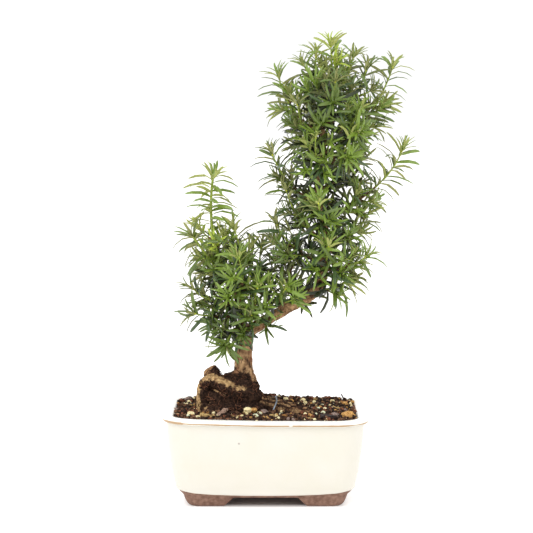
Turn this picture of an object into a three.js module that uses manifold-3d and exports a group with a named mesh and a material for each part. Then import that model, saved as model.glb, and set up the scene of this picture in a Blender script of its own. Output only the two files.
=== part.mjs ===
// A bonsai yew in a glazed pot: pot, feet, soil, trunk with its roots, boughs and sprays of needles.
// Millimetres, +Z up, the front of the pot faces -Y. All sizes are about the middle of the pot.
// At the end the whole plant is moved sideways, so that the origin lies under the middle of its box.
import * as THREE from "three";
import { mergeVertices } from "three/addons/utils/BufferGeometryUtils.js";
import Module from "manifold-3d";

const wasm = await Module();
wasm.setup();

// Pot: a rounded rectangle that widens upwards to a rolled lip
const POT_LENGTH = 170;
const POT_DEPTH = 130;
const POT_HEIGHT = 74;
const POT_CORNER = 27;
const CORNER_STEPS = 4;
const CORNER_SHRINK = 0.75; // how much the corner radius falls for each millimetre of inset
// Profiles: [inset from the outside of the lip, height]
const POT_OUTSIDE = [
  [13, 12.4],
  [11.7, 15.5],
  [10, 20],
  [7.6, 30],
  [4.8, 50],
  [3.2, 68.8],
  [1.6, 69.6],
  [0, 70.9],
  [0.3, 72.9],
  [2, 74],
  [7, 74],
];
const POT_INSIDE = [
  [9.2, 72.8],
  [10.2, 60],
  [15.2, 30],
  [19.2, 18],
];

// Feet: an unglazed band under the body and an angle bracket at each corner
const BAND_INSET = 13.2;
const FOOT_HEIGHT = 8.2;
const FOOT_INSET = 17;
const FOOT_LEAN = 5; // how far the outside of a foot leans in towards the ground
const FOOT_ARM = 13;
const FRONT_GAP = 53; // between the front feet, along X
const SIDE_GAP = 46; // between the feet of one end, along Y
const FRONT_SPREAD = 8; // each end of a gap spreads by this much towards the ground
const SIDE_SPREAD = 4;

// Soil
const SOIL_LEVEL = 74; // the ground that the trunk is cut at
const SOIL_EDGE = 71; // where the soil meets the walls, under its lumps
const SOIL_RISE = 2;
const SOIL_RINGS = [1, 0.66, 0.33, 0]; // from the wall in to the level patch
const LUMP_TURN = 5; // the phase of the soil's lumps, from point to point and from ring to ring
const LUMP_SHIFT = 3;
const LEVEL_MIDDLE = [-8, -8]; // of the level patch that the trunk and roots stand on
const LEVEL_HALF = [64, 36];

// Fits: what touches without being joined stands this far clear
const CLEAR = 0.3;

// Trunk and boughs, from the ground up: [x, y, z, radius]
const TRUNK_LINE = [
  [-15, 1, 64, 13],
  [-16, 0, 92, 10],
  [-18.4, 0, 108, 8.1],
  [-18, 0, 129, 7.3],
  [-16.4, 0, 138.6, 6.9],
];
const RIGHT_LINE = [
  [-16.4, 0, 138.6, 5.4],
  [-3, 1, 147, 5.1],
  [8.8, 2, 154, 4.9],
  [24.8, 1, 163, 4.7],
  [35.8, 0, 168.7, 4.6],
  [44.1, 0, 176.7, 4.4],
  [48.3, 1, 187.7, 4.2],
  [49.5, 4, 208.8, 3.9],
  [49.5, 4, 229.8, 3.5],
  [44.5, 1, 253.3, 3.1],
  [46.4, -2, 292.6, 2.4],
  [49.6, -1, 325.9, 1.7],
  [52.8, 0, 338, 1.3],
];
const BEND_SHARE = 0.305; // where the right bough turns up, and is split
const LEFT_LINE = [
  [-16.4, 0, 138.6, 4.6],
  [-19, 0, 146, 4.3],
  [-21.5, 1, 162.4, 3.4],
  [-26.5, 1, 173.4, 2.6],
  [-33.2, 0, 181.8, 1.8],
];
const REACH_STUB = 0.12; // the share of each bough that is one piece with the trunk
const LEFT_STUB = 0.26;
const WOOD_HEIGHT = 100; // from the ground to well above the fork
const LIMB_SIDES = 8;
const LIMB_WAVE = 0.05; // how far a limb swells and shrinks round its ring
const LIMB_LOBES = 3;
const LOBE_CLIMB = 9; // the height over which the swellings turn by one radian

// Surface roots, all one piece with the trunk
const RIGHT_ROOT_LINE = [
  [-10, -2, 80, 9],
  [8, -8, 76.5, 8],
  [23, -16, 74.5, 7],
  [38, -24, 72.5, 5.5],
  [50, -30, 69, 3.5],
];
const RIDGE_ROOT_LINE = [
  [-12, -10, 88, 5],
  [-17, -15, 89.5, 4.8],
  [-26, -17, 91.6, 5],
  [-34, -15, 95, 4.9],
  [-41, -13, 98.2, 5],
  [-47, -11.5, 99.8, 5],
  [-51.3, -10.5, 96.5, 5.1],
  [-52.8, -10.5, 89, 5.3],
  [-52.4, -11, 78, 5.7],
  [-51.5, -12, 66, 6.2],
];
const SAWN_STUB_LINE = [
  [-40, -6, 95, 7.2],
  [-44.5, -3.5, 102, 7.2],
  [-46.3, -2.5, 107.4, 6.4],
  [-47.3, -2, 109.4, 3.6],
];
// The root mass under the ridge: [middle x, middle y, z, half length, half depth]
const ROOT_MASS = [
  [-26, -5, 64, 37, 23],
  [-27, -6, 76, 31, 18],
  [-28, -6, 86, 27, 14],
  [-27, -5, 95, 22, 10.5],
  [-25, -3, 101, 14, 9],
  [-22, -1, 104.5, 10, 8],
];
const MASS_SIDES = 12;
const KNOB_WAVE = 0.07;
const KNOBS = 4;
const KNOB_TURN = 2; // from layer to layer, in radians

// How many steps each piece of wood is cut into along its length
const STEPS = { trunk: 7, stub: 2, rightRoot: 5, ridgeRoot: 9, sawnStub: 3, reach: 8, rise: 14, left: 6 };
const TRUNK_SIDES = 10;
const RIDGE_SIDES = 7;

// Tie wire over the right root
const WIRE_RADIUS = 0.65;
const WIRE_SIDES = 6;
const WIRE_STEPS = 10;
const WIRE_X = 10;
const WIRE_MIDDLE_Y = -9;
const WIRE_HALF_SPAN = 12.5;
const WIRE_TOP = 85.8;

// Needles. Each is a little larger than life, as these are fewer than the real ones.
const NEEDLE_LENGTH = 25;
const NEEDLE_WIDTH = 5.2;
const NEEDLE_THICKNESS = 1;
const NEEDLE_BOW = 1.2;
const NEEDLE_ROOT = 0.2; // how far a needle's root is sunk past the middle of its twig
const NEEDLE_WIDEST = 0.38; // the share of its length where a needle is widest
const NEEDLE_SPACING = 8.6; // along a twig
const NEEDLE_LEAN = 0.9; // away from the twig, in radians
const TUFT_NEEDLES = 3;
const TUFT_PLACE = 0.98; // the share of a twig's length where its end tuft sits
const TUFT_SHARE = 0.62; // the length of a needle in the tuft, as a share of the others
const TUFT_LEAN = 0.5;
const LEAN_SPREAD = 0.25;
const TURN_SPREAD = 0.5;
const SMALLEST_SHARE = 0.85;
const NEXT_NEEDLE = 5; // places of the spiral to turn on by, after a try that found no room
const BLADE_GAP = 2; // between the middles of two needles of one spray
const LINE_START = 0.8; // of the way to its widest part, from which a needle keeps clear of the others

// Twigs
const STEM_RADIUS = 1.7;
const TWIG_RADIUS = 1.05;
const TWIG_TIP_RADIUS = 0.65;
const TWIG_SPACING = 17; // one side twig to each such length of stem
const TWIG_SHARE = 0.42; // of the reach of its stem
const LONGEST_TWIG = 24;
const TWIG_LEAN = 0.75;
const TWIG_SUNK = 2; // from the point inside the stem to the full width of a side twig
const TWIG_LONGER = 1.15; // side twigs shorten from the foot of the stem to its tip
const TWIG_SHORTENS = 0.6;
const TWIG_SIDES = 3;
const NEXT_TWIG = 2;
const STEM_RUNS = 4;
const BEND_OUT = 0.75; // where the bend of a stem lies, as shares of its way out from the limb
const BEND_ALONG = 0.3; // and of its way along the limb
const END_BEND_OUT = 0.3; // the same for a stem on the end of a limb
const END_BEND_ALONG = 0.6;
const TWIG_GAP = 4; // between two twigs of one spray
const CLEAR_FROM = 0.35; // the share of a side twig from which it keeps clear of the other twigs
const KEPT_POINTS = [0.5, 0.75, 1]; // the shares of it that must lie in the spray's own space
const FIRST_TWIG = 0.12; // the part of a stem that bears side twigs
const LAST_TWIG = 0.72;
const BARE_SHARE = 0.22; // the foot of a stem, which carries no needles
const TWIG_BARE_SHARE = 0.3;
const SPACE_MARGIN = 0.7; // from a needle or twig to the border of its spray's own space
const WOOD_MARGIN = 0.8; // from a needle or twig to any limb
const ATTEMPTS = 4;
const GOLDEN_ANGLE = Math.PI * (3 - Math.sqrt(5));
const FIRST_SEED = 1000; // the seed of a spray is this plus its place in the table times the step
const SEED_STEP = 77;
const SEED_FACTOR = 16807;
const SEED_MODULUS = 2147483647;
const STEM_SAMPLES = 16; // points of each stem that the spaces are measured from
const WOOD_SAMPLES = 40;
const RUN_COUNT = 3; // straight runs that stand for a twig where distances are measured
const NEARLY_UPRIGHT = 0.9; // the rise of a twig from which it counts as upright
const UPRIGHT_RING = 0.7; // the same for the rings of its skin

// Sprays: [name, limb, share of the limb where the stem leaves it, turn from +X, lift above level, reach]
const SPRAYS = [
  ["spray_top", "bough_rise", 1, 0, 88, 43],
  ["spray_top_left", "bough_rise", 0.9, -125, 74, 48],
  ["spray_top_right", "bough_rise", 0.93, 16, 60, 50],
  ["spray_top_back", "bough_rise", 0.86, 75, 44, 51],
  ["spray_high_left", "bough_rise", 0.8, -173, 52, 56],
  ["spray_high_right", "bough_rise", 0.84, -10, 51, 60],
  ["spray_high_front", "bough_rise", 0.83, -76, 45, 53],
  ["spray_far_right", "bough_rise", 0.7, 5, 48, 95],
  ["spray_shoulder_left", "bough_rise", 0.69, -138, 55, 52],
  ["spray_shoulder_right", "bough_rise", 0.74, -51, 32, 55],
  ["spray_shoulder_back", "bough_rise", 0.68, 101, 38, 51],
  ["spray_middle_front", "bough_rise", 0.62, -57, 32, 52],
  ["spray_middle_left_front", "bough_rise", 0.6, -107, 41, 46],
  ["spray_middle_left", "bough_rise", 0.53, -171, 36, 48],
  ["spray_middle_back", "bough_rise", 0.52, 56, 35, 56],
  ["spray_right_arm", "bough_rise", 0.4, -2, 39, 81],
  ["spray_inner_left", "bough_rise", 0.38, -159, 36, 45],
  ["spray_inner_front", "bough_rise", 0.32, -99, 28, 46],
  ["spray_inner_back", "bough_rise", 0.34, 114, 39, 48],
  ["spray_elbow_right", "bough_rise", 0.24, 3, 30, 44],
  ["spray_elbow_left", "bough_rise", 0.17, -156, 36, 48],
  ["spray_elbow_back", "bough_rise", 0.16, 70, 28, 42],
  ["spray_low_right", "bough_rise", 0.1, -26, 31, 41],
  ["spray_under_elbow", "bough_rise", 0.05, -15, -6, 27],
  ["spray_reach_back", "bough_reach", 0.72, 110, 48, 53],
  ["spray_reach_front", "bough_reach", 0.5, -86, 34, 39],
  ["spray_reach_up", "bough_reach", 0.4, 172, 77, 62],
  ["spray_reach_foot", "bough_reach", 0.2, -94, 44, 48],
  ["spray_under_reach", "bough_reach", 0.24, -70, -30, 13],
  ["spray_left_leader", "bough_left", 1, 180, 83, 88],
  ["spray_left_inner", "bough_left", 0.86, -60, 81, 62],
  ["spray_left_outer", "bough_left", 0.82, -165, 53, 55],
  ["spray_left_back", "bough_left", 0.74, 119, 44, 52],
  ["spray_left_front", "bough_left", 0.62, -88, 47, 52],
  ["spray_left_low", "bough_left", 0.56, -159, 18, 45],
  ["spray_left_foot", "bough_left", 0.34, -151, 6, 38],
  ["spray_left_foot_back", "bough_left", 0.3, 97, 30, 39],
  ["spray_left_foot_front", "bough_left", 0.17, -109, -16, 40],
  ["spray_fork_front", "bough_left", 0.08, -78, 24, 36],
  ["spray_elbow_front", "bough_rise", 0.1, -84, 34, 38],
];

// Colours
const GLAZE = new THREE.MeshStandardMaterial({ color: 0xfdfbee, roughness: 0.25 });
const CLAY = new THREE.MeshStandardMaterial({ color: 0x7d5f56, roughness: 0.85 });
const PEAT = new THREE.MeshStandardMaterial({ color: 0x3f2d24, roughness: 1 });
const BARK = new THREE.MeshStandardMaterial({ color: 0x83674b, roughness: 0.9 });
const WIRE = new THREE.MeshStandardMaterial({ color: 0x8d9296, roughness: 0.4, metalness: 1 });
const LEAF = { roughness: 0.55, side: THREE.DoubleSide };
const OLD_NEEDLES = new THREE.MeshStandardMaterial({ color: 0x505f2f, ...LEAF });
const NEW_NEEDLES = new THREE.MeshStandardMaterial({ color: 0x8a9a4e, ...LEAF });
const NEW_GROWTH_LEVEL = 262; // tips above this height are this year's, paler needles

const vector = (x, y, z) => new THREE.Vector3(x, y, z);

// A closed skin through rings of points. Both ends are rings of one point, and every ring runs
// anticlockwise seen from the ring after it.
function skin(rings) {
  const corners = [];
  for (let k = 0; k + 1 < rings.length; k += 1) {
    const near = rings[k];
    const far = rings[k + 1];
    const count = Math.max(near.length, far.length);
    for (let i = 0; i < count; i += 1) {
      const j = (i + 1) % count;
      if (near.length > 1) corners.push(near[i], near[j], far[j % far.length]);
      if (far.length > 1) corners.push(near[i % near.length], far[j], far[i]);
    }
  }
  return new THREE.BufferGeometry().setFromPoints(corners);
}

// A solid for joining and cutting.
function solid(geometry) {
  const loose = geometry.index ? geometry.toNonIndexed() : geometry;
  const bare = new THREE.BufferGeometry().setAttribute("position", loose.getAttribute("position"));
  const merged = mergeVertices(bare);
  const mesh = new wasm.Mesh({
    numProp: 3,
    vertProperties: merged.getAttribute("position").array,
    triVerts: new Uint32Array(merged.index.array),
  });
  return new wasm.Manifold(mesh);
}

// The geometry of a joined solid.
function geometryOf(joined) {
  const mesh = joined.getMesh();
  return new THREE.BufferGeometry()
    .setAttribute("position", new THREE.BufferAttribute(mesh.vertProperties, mesh.numProp))
    .setIndex(new THREE.BufferAttribute(mesh.triVerts, 1))
    .toNonIndexed();
}

const join = (geometries) => geometries.map(solid).reduce((whole, piece) => whole.add(piece));

const plant = new THREE.Group();

function place(name, geometry, material) {
  geometry.computeVertexNormals();
  const mesh = new THREE.Mesh(geometry, material);
  mesh.name = name;
  plant.add(mesh);
}

// A level ring: a rectangle with round corners.
function roundedRectangle(length, depth, corner, z) {
  const ring = [];
  for (const [quarter, signX, signY] of [[0, 1, 1], [1, -1, 1], [2, -1, -1], [3, 1, -1]]) {
    const middleX = signX * (length / 2 - corner);
    const middleY = signY * (depth / 2 - corner);
    for (let step = 0; step <= CORNER_STEPS; step += 1) {
      const angle = ((quarter + step / CORNER_STEPS) * Math.PI) / 2;
      ring.push(vector(middleX + corner * Math.cos(angle), middleY + corner * Math.sin(angle), z));
    }
  }
  return ring;
}

// The pot's outline drawn in by `inset` from the outside of the lip.
const potRing = (inset, z) =>
  roundedRectangle(
    POT_LENGTH - 2 * inset,
    POT_DEPTH - 2 * inset,
    POT_CORNER - CORNER_SHRINK * inset,
    z,
  );

// Pot body: up the outside, over the rolled lip and down the inside to the floor
const bandTop = POT_OUTSIDE[0][1];
const floorLevel = POT_INSIDE[POT_INSIDE.length - 1][1];
const potBody = skin([
  [vector(0, 0, bandTop)],
  ...[...POT_OUTSIDE, ...POT_INSIDE].map(([inset, z]) => potRing(inset, z)),
  [vector(0, 0, floorLevel)],
]);
place("pot_body", potBody, GLAZE);

// Base band under the body
const potBase = skin([
  [vector(0, 0, FOOT_HEIGHT)],
  potRing(FOOT_INSET, FOOT_HEIGHT),
  potRing(BAND_INSET, bandTop),
  [vector(0, 0, bandTop)],
]);
place("pot_base", potBase, CLAY);

// Feet: the outline of one angle bracket at the corner that signX and signY give
function footRing(signX, signY, lean, spreadX, spreadY, z) {
  const outerX = POT_LENGTH / 2 - FOOT_INSET - lean;
  const outerY = POT_DEPTH / 2 - FOOT_INSET - lean;
  const corner = POT_CORNER - CORNER_SHRINK * FOOT_INSET - lean / 2;
  const endX = FRONT_GAP / 2 + spreadX;
  const endY = SIDE_GAP / 2 + spreadY;
  const outline = [[outerX - FOOT_ARM, endY], [outerX, endY]];
  for (let step = 0; step <= CORNER_STEPS; step += 1) {
    const angle = ((step / CORNER_STEPS) * Math.PI) / 2;
    outline.push([
      outerX - corner + corner * Math.cos(angle),
      outerY - corner + corner * Math.sin(angle),
    ]);
  }
  outline.push([endX, outerY], [endX, outerY - FOOT_ARM], [outerX - FOOT_ARM, outerY - FOOT_ARM]);
  const ring = outline.map(([x, y]) => vector(signX * x, signY * y, z));
  return signX * signY > 0 ? ring : ring.reverse();
}

// The middle of a foot's elbow, from which its whole outline can be seen
const footMiddle = (signX, signY, z) => [
  vector(
    signX * (POT_LENGTH / 2 - FOOT_INSET - FOOT_LEAN - FOOT_ARM / 2),
    signY * (POT_DEPTH / 2 - FOOT_INSET - FOOT_LEAN - FOOT_ARM / 2),
    z,
  ),
];

for (const [name, signX, signY] of [
  ["foot_front_left", -1, -1],
  ["foot_front_right", 1, -1],
  ["foot_back_left", -1, 1],
  ["foot_back_right", 1, 1],
]) {
  const foot = skin([
    footMiddle(signX, signY, 0),
    footRing(signX, signY, FOOT_LEAN, FRONT_SPREAD, SIDE_SPREAD, 0),
    footRing(signX, signY, 0, 0, 0, FOOT_HEIGHT),
    footMiddle(signX, signY, FOOT_HEIGHT),
  ]);
  place(name, foot, CLAY);
}

// Soil: fills the pot, level where the trunk and roots stand, and falling in lumps to the walls
const soilWalls = POT_INSIDE.slice(1).map(([inset, z]) => [inset + CLEAR, z]);
function soilSurface(share) {
  return potRing(soilWalls[0][0], 0).map((point, i) => {
    const angle = Math.atan2(point.y, point.x);
    const level = vector(
      LEVEL_MIDDLE[0] + LEVEL_HALF[0] * Math.cos(angle),
      LEVEL_MIDDLE[1] + LEVEL_HALF[1] * Math.sin(angle),
      SOIL_LEVEL - CLEAR,
    );
    const lump = (1 + Math.sin(LUMP_TURN * i + LUMP_SHIFT * share)) / 2;
    const outer = vector(point.x, point.y, SOIL_EDGE + SOIL_RISE * lump);
    return level.lerp(outer, share);
  });
}
const soil = skin([
  [vector(0, 0, floorLevel)],
  ...soilWalls.map(([inset, z]) => potRing(inset, z)).reverse(),
  ...SOIL_RINGS.map(soilSurface),
  [vector(...LEVEL_MIDDLE, SOIL_LEVEL - CLEAR)],
]);
place("soil", soil, PEAT);

// Limbs. A limb is a stretch of a curve, with a radius that tapers along it.
class Limb {
  constructor(line, from = 0, to = 1) {
    const points = line.map(([x, y, z]) => vector(x, y, z));
    this.curve = new THREE.CatmullRomCurve3(points, false, "catmullrom");
    this.radii = line.map((row) => row[3]);
    this.from = from;
    this.to = to;
  }
  onCurve(share) {
    return THREE.MathUtils.lerp(this.from, this.to, share);
  }
  point(share) {
    return this.curve.getPointAt(this.onCurve(share));
  }
  along(share) {
    return this.curve.getTangentAt(this.onCurve(share));
  }
  radius(share) {
    const row = this.curve.getUtoTmapping(this.onCurve(share)) * (this.radii.length - 1);
    const k = Math.min(Math.floor(row), this.radii.length - 2);
    return THREE.MathUtils.lerp(this.radii[k], this.radii[k + 1], row - k);
  }
  shareOf(length) {
    return length / (this.curve.getLength() * (this.to - this.from));
  }
}

// A ring across a limb or twig. `side` is any direction that isn't along it.
function crossRing(centre, along, side, radius, count, wave = 0) {
  const across = vector(0, 0, 0).crossVectors(side, along).normalize();
  const beside = vector(0, 0, 0).crossVectors(along, across).normalize();
  return Array.from({ length: count }, (_, i) => {
    const angle = (2 * Math.PI * i) / count;
    const reach = radius * (1 + wave * Math.sin(LIMB_LOBES * angle + centre.z / LOBE_CLIMB));
    return centre
      .clone()
      .addScaledVector(across, reach * Math.cos(angle))
      .addScaledVector(beside, reach * Math.sin(angle));
  });
}

// The solid of a limb between two shares of its length, with flat ends.
const FRONT = vector(0, 1, 0);
function limbSkin(limb, from, to, steps, sides = LIMB_SIDES) {
  const rings = [[limb.point(from)]];
  for (let step = 0; step <= steps; step += 1) {
    const share = THREE.MathUtils.lerp(from, to, step / steps);
    const [centre, along, radius] = [limb.point(share), limb.along(share), limb.radius(share)];
    rings.push(crossRing(centre, along, FRONT, radius, sides, LIMB_WAVE));
  }
  rings.push([limb.point(to)]);
  return skin(rings);
}

const trunk = new Limb(TRUNK_LINE);
const limbs = {
  bough_reach: new Limb(RIGHT_LINE, 0, BEND_SHARE),
  bough_rise: new Limb(RIGHT_LINE, BEND_SHARE, 1),
  bough_left: new Limb(LEFT_LINE),
};
const rightRoot = new Limb(RIGHT_ROOT_LINE);

// Trunk: taper and lean, root flare, surface roots, sawn stub and the foot of each bough, in one piece
const rootMass = ROOT_MASS.map(([x, y, z, halfLength, halfDepth], layer) =>
  Array.from({ length: MASS_SIDES }, (_, i) => {
    const angle = (2 * Math.PI * i) / MASS_SIDES;
    const knob = 1 + KNOB_WAVE * Math.sin(KNOBS * angle + KNOB_TURN * layer);
    return vector(x + halfLength * knob * Math.cos(angle), y + halfDepth * knob * Math.sin(angle), z);
  }),
);
const massBottom = ROOT_MASS[0].slice(0, 3);
const massTop = ROOT_MASS[ROOT_MASS.length - 1].slice(0, 3);
const aboveGround = new THREE.BoxGeometry(POT_LENGTH, POT_DEPTH, WOOD_HEIGHT);
aboveGround.translate(0, 0, SOIL_LEVEL + WOOD_HEIGHT / 2);
const wood = join([
  limbSkin(trunk, 0, 1, STEPS.trunk, TRUNK_SIDES),
  limbSkin(limbs.bough_reach, 0, REACH_STUB, STEPS.stub),
  limbSkin(limbs.bough_left, 0, LEFT_STUB, STEPS.stub),
  limbSkin(rightRoot, 0, 1, STEPS.rightRoot),
  limbSkin(new Limb(RIDGE_ROOT_LINE), 0, 1, STEPS.ridgeRoot, RIDGE_SIDES),
  limbSkin(new Limb(SAWN_STUB_LINE), 0, 1, STEPS.sawnStub),
  skin([[vector(...massBottom)], ...rootMass, [vector(...massTop)]]),
]);
place("trunk", geometryOf(wood.intersect(solid(aboveGround))), BARK);

// Boughs, each clear of the piece that carries it
const { bough_reach: reachBough, bough_rise: riseBough, bough_left: leftBough } = limbs;
const reachFoot = REACH_STUB + reachBough.shareOf(CLEAR);
const leftFoot = LEFT_STUB + leftBough.shareOf(CLEAR);
place("bough_reach", limbSkin(reachBough, reachFoot, 1, STEPS.reach), BARK);
place("bough_rise", limbSkin(riseBough, riseBough.shareOf(CLEAR), 1, STEPS.rise), BARK);
place("bough_left", limbSkin(leftBough, leftFoot, 1, STEPS.left), BARK);

// Tie wire: an arch over the right root, with both ends down on the soil
const wireRings = [];
for (let step = 0; step <= WIRE_STEPS; step += 1) {
  const angle = (step / WIRE_STEPS) * Math.PI;
  const centre = vector(
    WIRE_X,
    WIRE_MIDDLE_Y - WIRE_HALF_SPAN * Math.cos(angle),
    SOIL_LEVEL + (WIRE_TOP - SOIL_LEVEL) * Math.sin(angle),
  );
  const along = vector(
    0,
    WIRE_HALF_SPAN * Math.sin(angle),
    (WIRE_TOP - SOIL_LEVEL) * Math.cos(angle),
  ).normalize();
  wireRings.push(crossRing(centre, along, vector(1, 0, 0), WIRE_RADIUS, WIRE_SIDES));
}
place(
  "tie_wire",
  skin([
    [vector(WIRE_X, WIRE_MIDDLE_Y - WIRE_HALF_SPAN, SOIL_LEVEL)],
    ...wireRings,
    [vector(WIRE_X, WIRE_MIDDLE_Y + WIRE_HALF_SPAN, SOIL_LEVEL)],
  ]),
  WIRE,
);

// Park-Miller random numbers, so that the plant grows the same every time
function seededBy(seed) {
  let state = seed;
  return () => {
    state = (state * SEED_FACTOR) % SEED_MODULUS;
    return state / SEED_MODULUS;
  };
}

// Where a stem that leaves a limb sideways has its foot, and the way that its foot faces
function footOn(limbName, share, outward) {
  const limb = limbs[limbName];
  const outside = limb.point(share).addScaledVector(outward, 2 * limb.radius(share));
  const ray = new THREE.Raycaster(outside, outward.clone().negate());
  const carriers = [limbName, "trunk"].map((name) => plant.getObjectByName(name));
  const [{ point, face }] = ray.intersectObjects(carriers);
  return [point.addScaledVector(face.normal, CLEAR), face.normal];
}

// The stem of a spray: straight out of its limb, then bending up along the limb, in a few straight runs
function sprayStem([, limbName, share, turn, lift, reach]) {
  const limb = limbs[limbName];
  const along = limb.along(share);
  const level = THREE.MathUtils.degToRad(turn);
  const rise = THREE.MathUtils.degToRad(lift);
  const heading = vector(
    Math.cos(rise) * Math.cos(level),
    Math.cos(rise) * Math.sin(level),
    Math.sin(rise),
  );
  const tip = limb.point(share).addScaledVector(heading, reach);
  const outward = heading.clone().addScaledVector(along, -heading.dot(along)).normalize();
  const atEnd = share === 1;
  const [foot, facing] = atEnd
    ? [limb.point(share).addScaledVector(along, CLEAR), along]
    : footOn(limbName, share, outward);
  const path = tip.clone().sub(foot);
  const forward = path.dot(along);
  const bend = foot
    .clone()
    .addScaledVector(path.clone().addScaledVector(along, -forward), atEnd ? END_BEND_OUT : BEND_OUT)
    .addScaledVector(along, forward * (atEnd ? END_BEND_ALONG : BEND_ALONG));
  const curve = new THREE.QuadraticBezierCurve3(foot, bend, tip);
  const runs = new THREE.CurvePath();
  for (let run = 0; run < STEM_RUNS; run += 1) {
    const near = curve.getPointAt(run / STEM_RUNS);
    const far = curve.getPointAt((run + 1) / STEM_RUNS);
    runs.add(new THREE.LineCurve3(near, far));
  }
  return { runs, facing };
}

// Every spray keeps to the space that is nearer to its own stem than to any other
const sprayStems = SPRAYS.map(sprayStem);
const stems = sprayStems.map(({ runs }) => runs);
const shares = (count) => Array.from({ length: count + 1 }, (_, i) => i / count);
const stemPoints = stems.map((stem) => shares(STEM_SAMPLES).map((share) => stem.getPoint(share)));
const woodPoints = [trunk, rightRoot, ...Object.values(limbs)].flatMap((limb) =>
  shares(WOOD_SAMPLES).map((share) => [limb.point(share), limb.radius(share)]),
);
const distanceTo = (points, point) => Math.min(...points.map((other) => other.distanceTo(point)));

function isFree(point, own) {
  const near = distanceTo(stemPoints[own], point);
  const crowded = stemPoints.some(
    (points, other) => other !== own && distanceTo(points, point) < near + SPACE_MARGIN * 2,
  );
  const offTheWood = ([centre, radius]) => centre.distanceTo(point) > radius + WOOD_MARGIN;
  return !crowded && woodPoints.every(offTheWood);
}

// A direction that leaves `along` by `lean`, turned about it by `turn`.
function leaning(along, lean, turn) {
  const side = Math.abs(along.z) < NEARLY_UPRIGHT ? vector(0, 0, 1) : vector(1, 0, 0);
  const across = vector(0, 0, 0).crossVectors(along, side).normalize();
  across.applyAxisAngle(along, turn);
  return along.clone().multiplyScalar(Math.cos(lean)).addScaledVector(across, Math.sin(lean));
}

// A needle: flat underneath with a keel on its upper side, widest before its middle, and bowed back.
function needle(foot, heading, along, share) {
  const length = NEEDLE_LENGTH * share;
  const width = NEEDLE_WIDTH * share;
  const across = vector(0, 0, 0).crossVectors(along, heading).normalize();
  const upper = vector(0, 0, 0).crossVectors(heading, across).normalize();
  const root = foot.clone().addScaledVector(heading, -NEEDLE_ROOT);
  const middle = foot.clone().addScaledVector(heading, length * NEEDLE_WIDEST);
  middle.addScaledVector(upper, NEEDLE_BOW);
  const tip = foot.clone().addScaledVector(heading, length);
  const ring = [
    middle.clone().addScaledVector(across, width / 2),
    middle.clone().addScaledVector(upper, NEEDLE_THICKNESS),
    middle.clone().addScaledVector(across, -width / 2),
  ];
  const midway = middle.clone().lerp(tip, 0.5);
  return {
    rings: [[root], ring, [tip]],
    reach: [...ring, midway, tip],
    line: new THREE.Line3(foot.clone().lerp(middle, LINE_START), tip),
  };
}

const isClearOf = (line, lines, gap) => lines.every((other) => line.distanceSqToLine3(other) > gap * gap);

// The straight runs of a twig from a share of its length on, for keeping others off it.
function runsOf(curve, from) {
  const points = shares(RUN_COUNT).map((share) => curve.getPoint(from + (1 - from) * share));
  return points.slice(1).map((point, k) => new THREE.Line3(points[k], point));
}

// Needles set spirally on a twig, with a tuft of short ones at its end. One that finds no room is
// turned on to the next place of the spiral, and after the last try it is left out.
function needlesOn(curve, bareShare, index, random, taken) {
  const made = [];
  const count = Math.max(2, Math.round((curve.getLength() * (1 - bareShare)) / NEEDLE_SPACING));
  for (let i = 0; i < count + TUFT_NEEDLES; i += 1) {
    const inTuft = i >= count;
    const share = inTuft ? TUFT_PLACE : bareShare + ((1 - bareShare) * (i + 0.5)) / count;
    const along = curve.getTangent(share);
    const lean = (inTuft ? TUFT_LEAN : NEEDLE_LEAN) + LEAN_SPREAD * random();
    const size = (inTuft ? TUFT_SHARE : 1) * THREE.MathUtils.lerp(SMALLEST_SHARE, 1, random());
    const turn = TURN_SPREAD * random();
    for (let attempt = 0; attempt < ATTEMPTS; attempt += 1) {
      const heading = leaning(along, lean, turn + (i + attempt * NEXT_NEEDLE) * GOLDEN_ANGLE);
      const blade = needle(curve.getPoint(share), heading, along, size);
      if (!isClearOf(blade.line, taken, BLADE_GAP)) continue;
      if (!blade.reach.every((point) => isFree(point, index))) continue;
      taken.push(blade.line);
      made.push(skin(blade.rings));
      break;
    }
  }
  return made;
}

// A three-sided twig that tapers to a blunt end. A stem's foot faces the limb that carries it, and
// the foot of a side twig is a point inside its stem.
function twig(curve, footRadius, steps, sunkShare, facing) {
  const rings = [[curve.getPoint(0)]];
  const chord = curve.getPoint(1).sub(curve.getPoint(0)).normalize();
  const side = Math.abs(chord.z) < UPRIGHT_RING ? vector(0, 0, 1) : FRONT;
  for (let step = 0; step <= steps; step += 1) {
    const share = THREE.MathUtils.lerp(sunkShare, 1, step / steps);
    const radius = THREE.MathUtils.lerp(footRadius, TWIG_TIP_RADIUS, share);
    const along = step === 0 ? facing : curve.getTangent(share);
    rings.push(crossRing(curve.getPoint(share), along, side, radius, TWIG_SIDES));
  }
  rings.push([curve.getPoint(1)]);
  return skin(rings);
}

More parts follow.
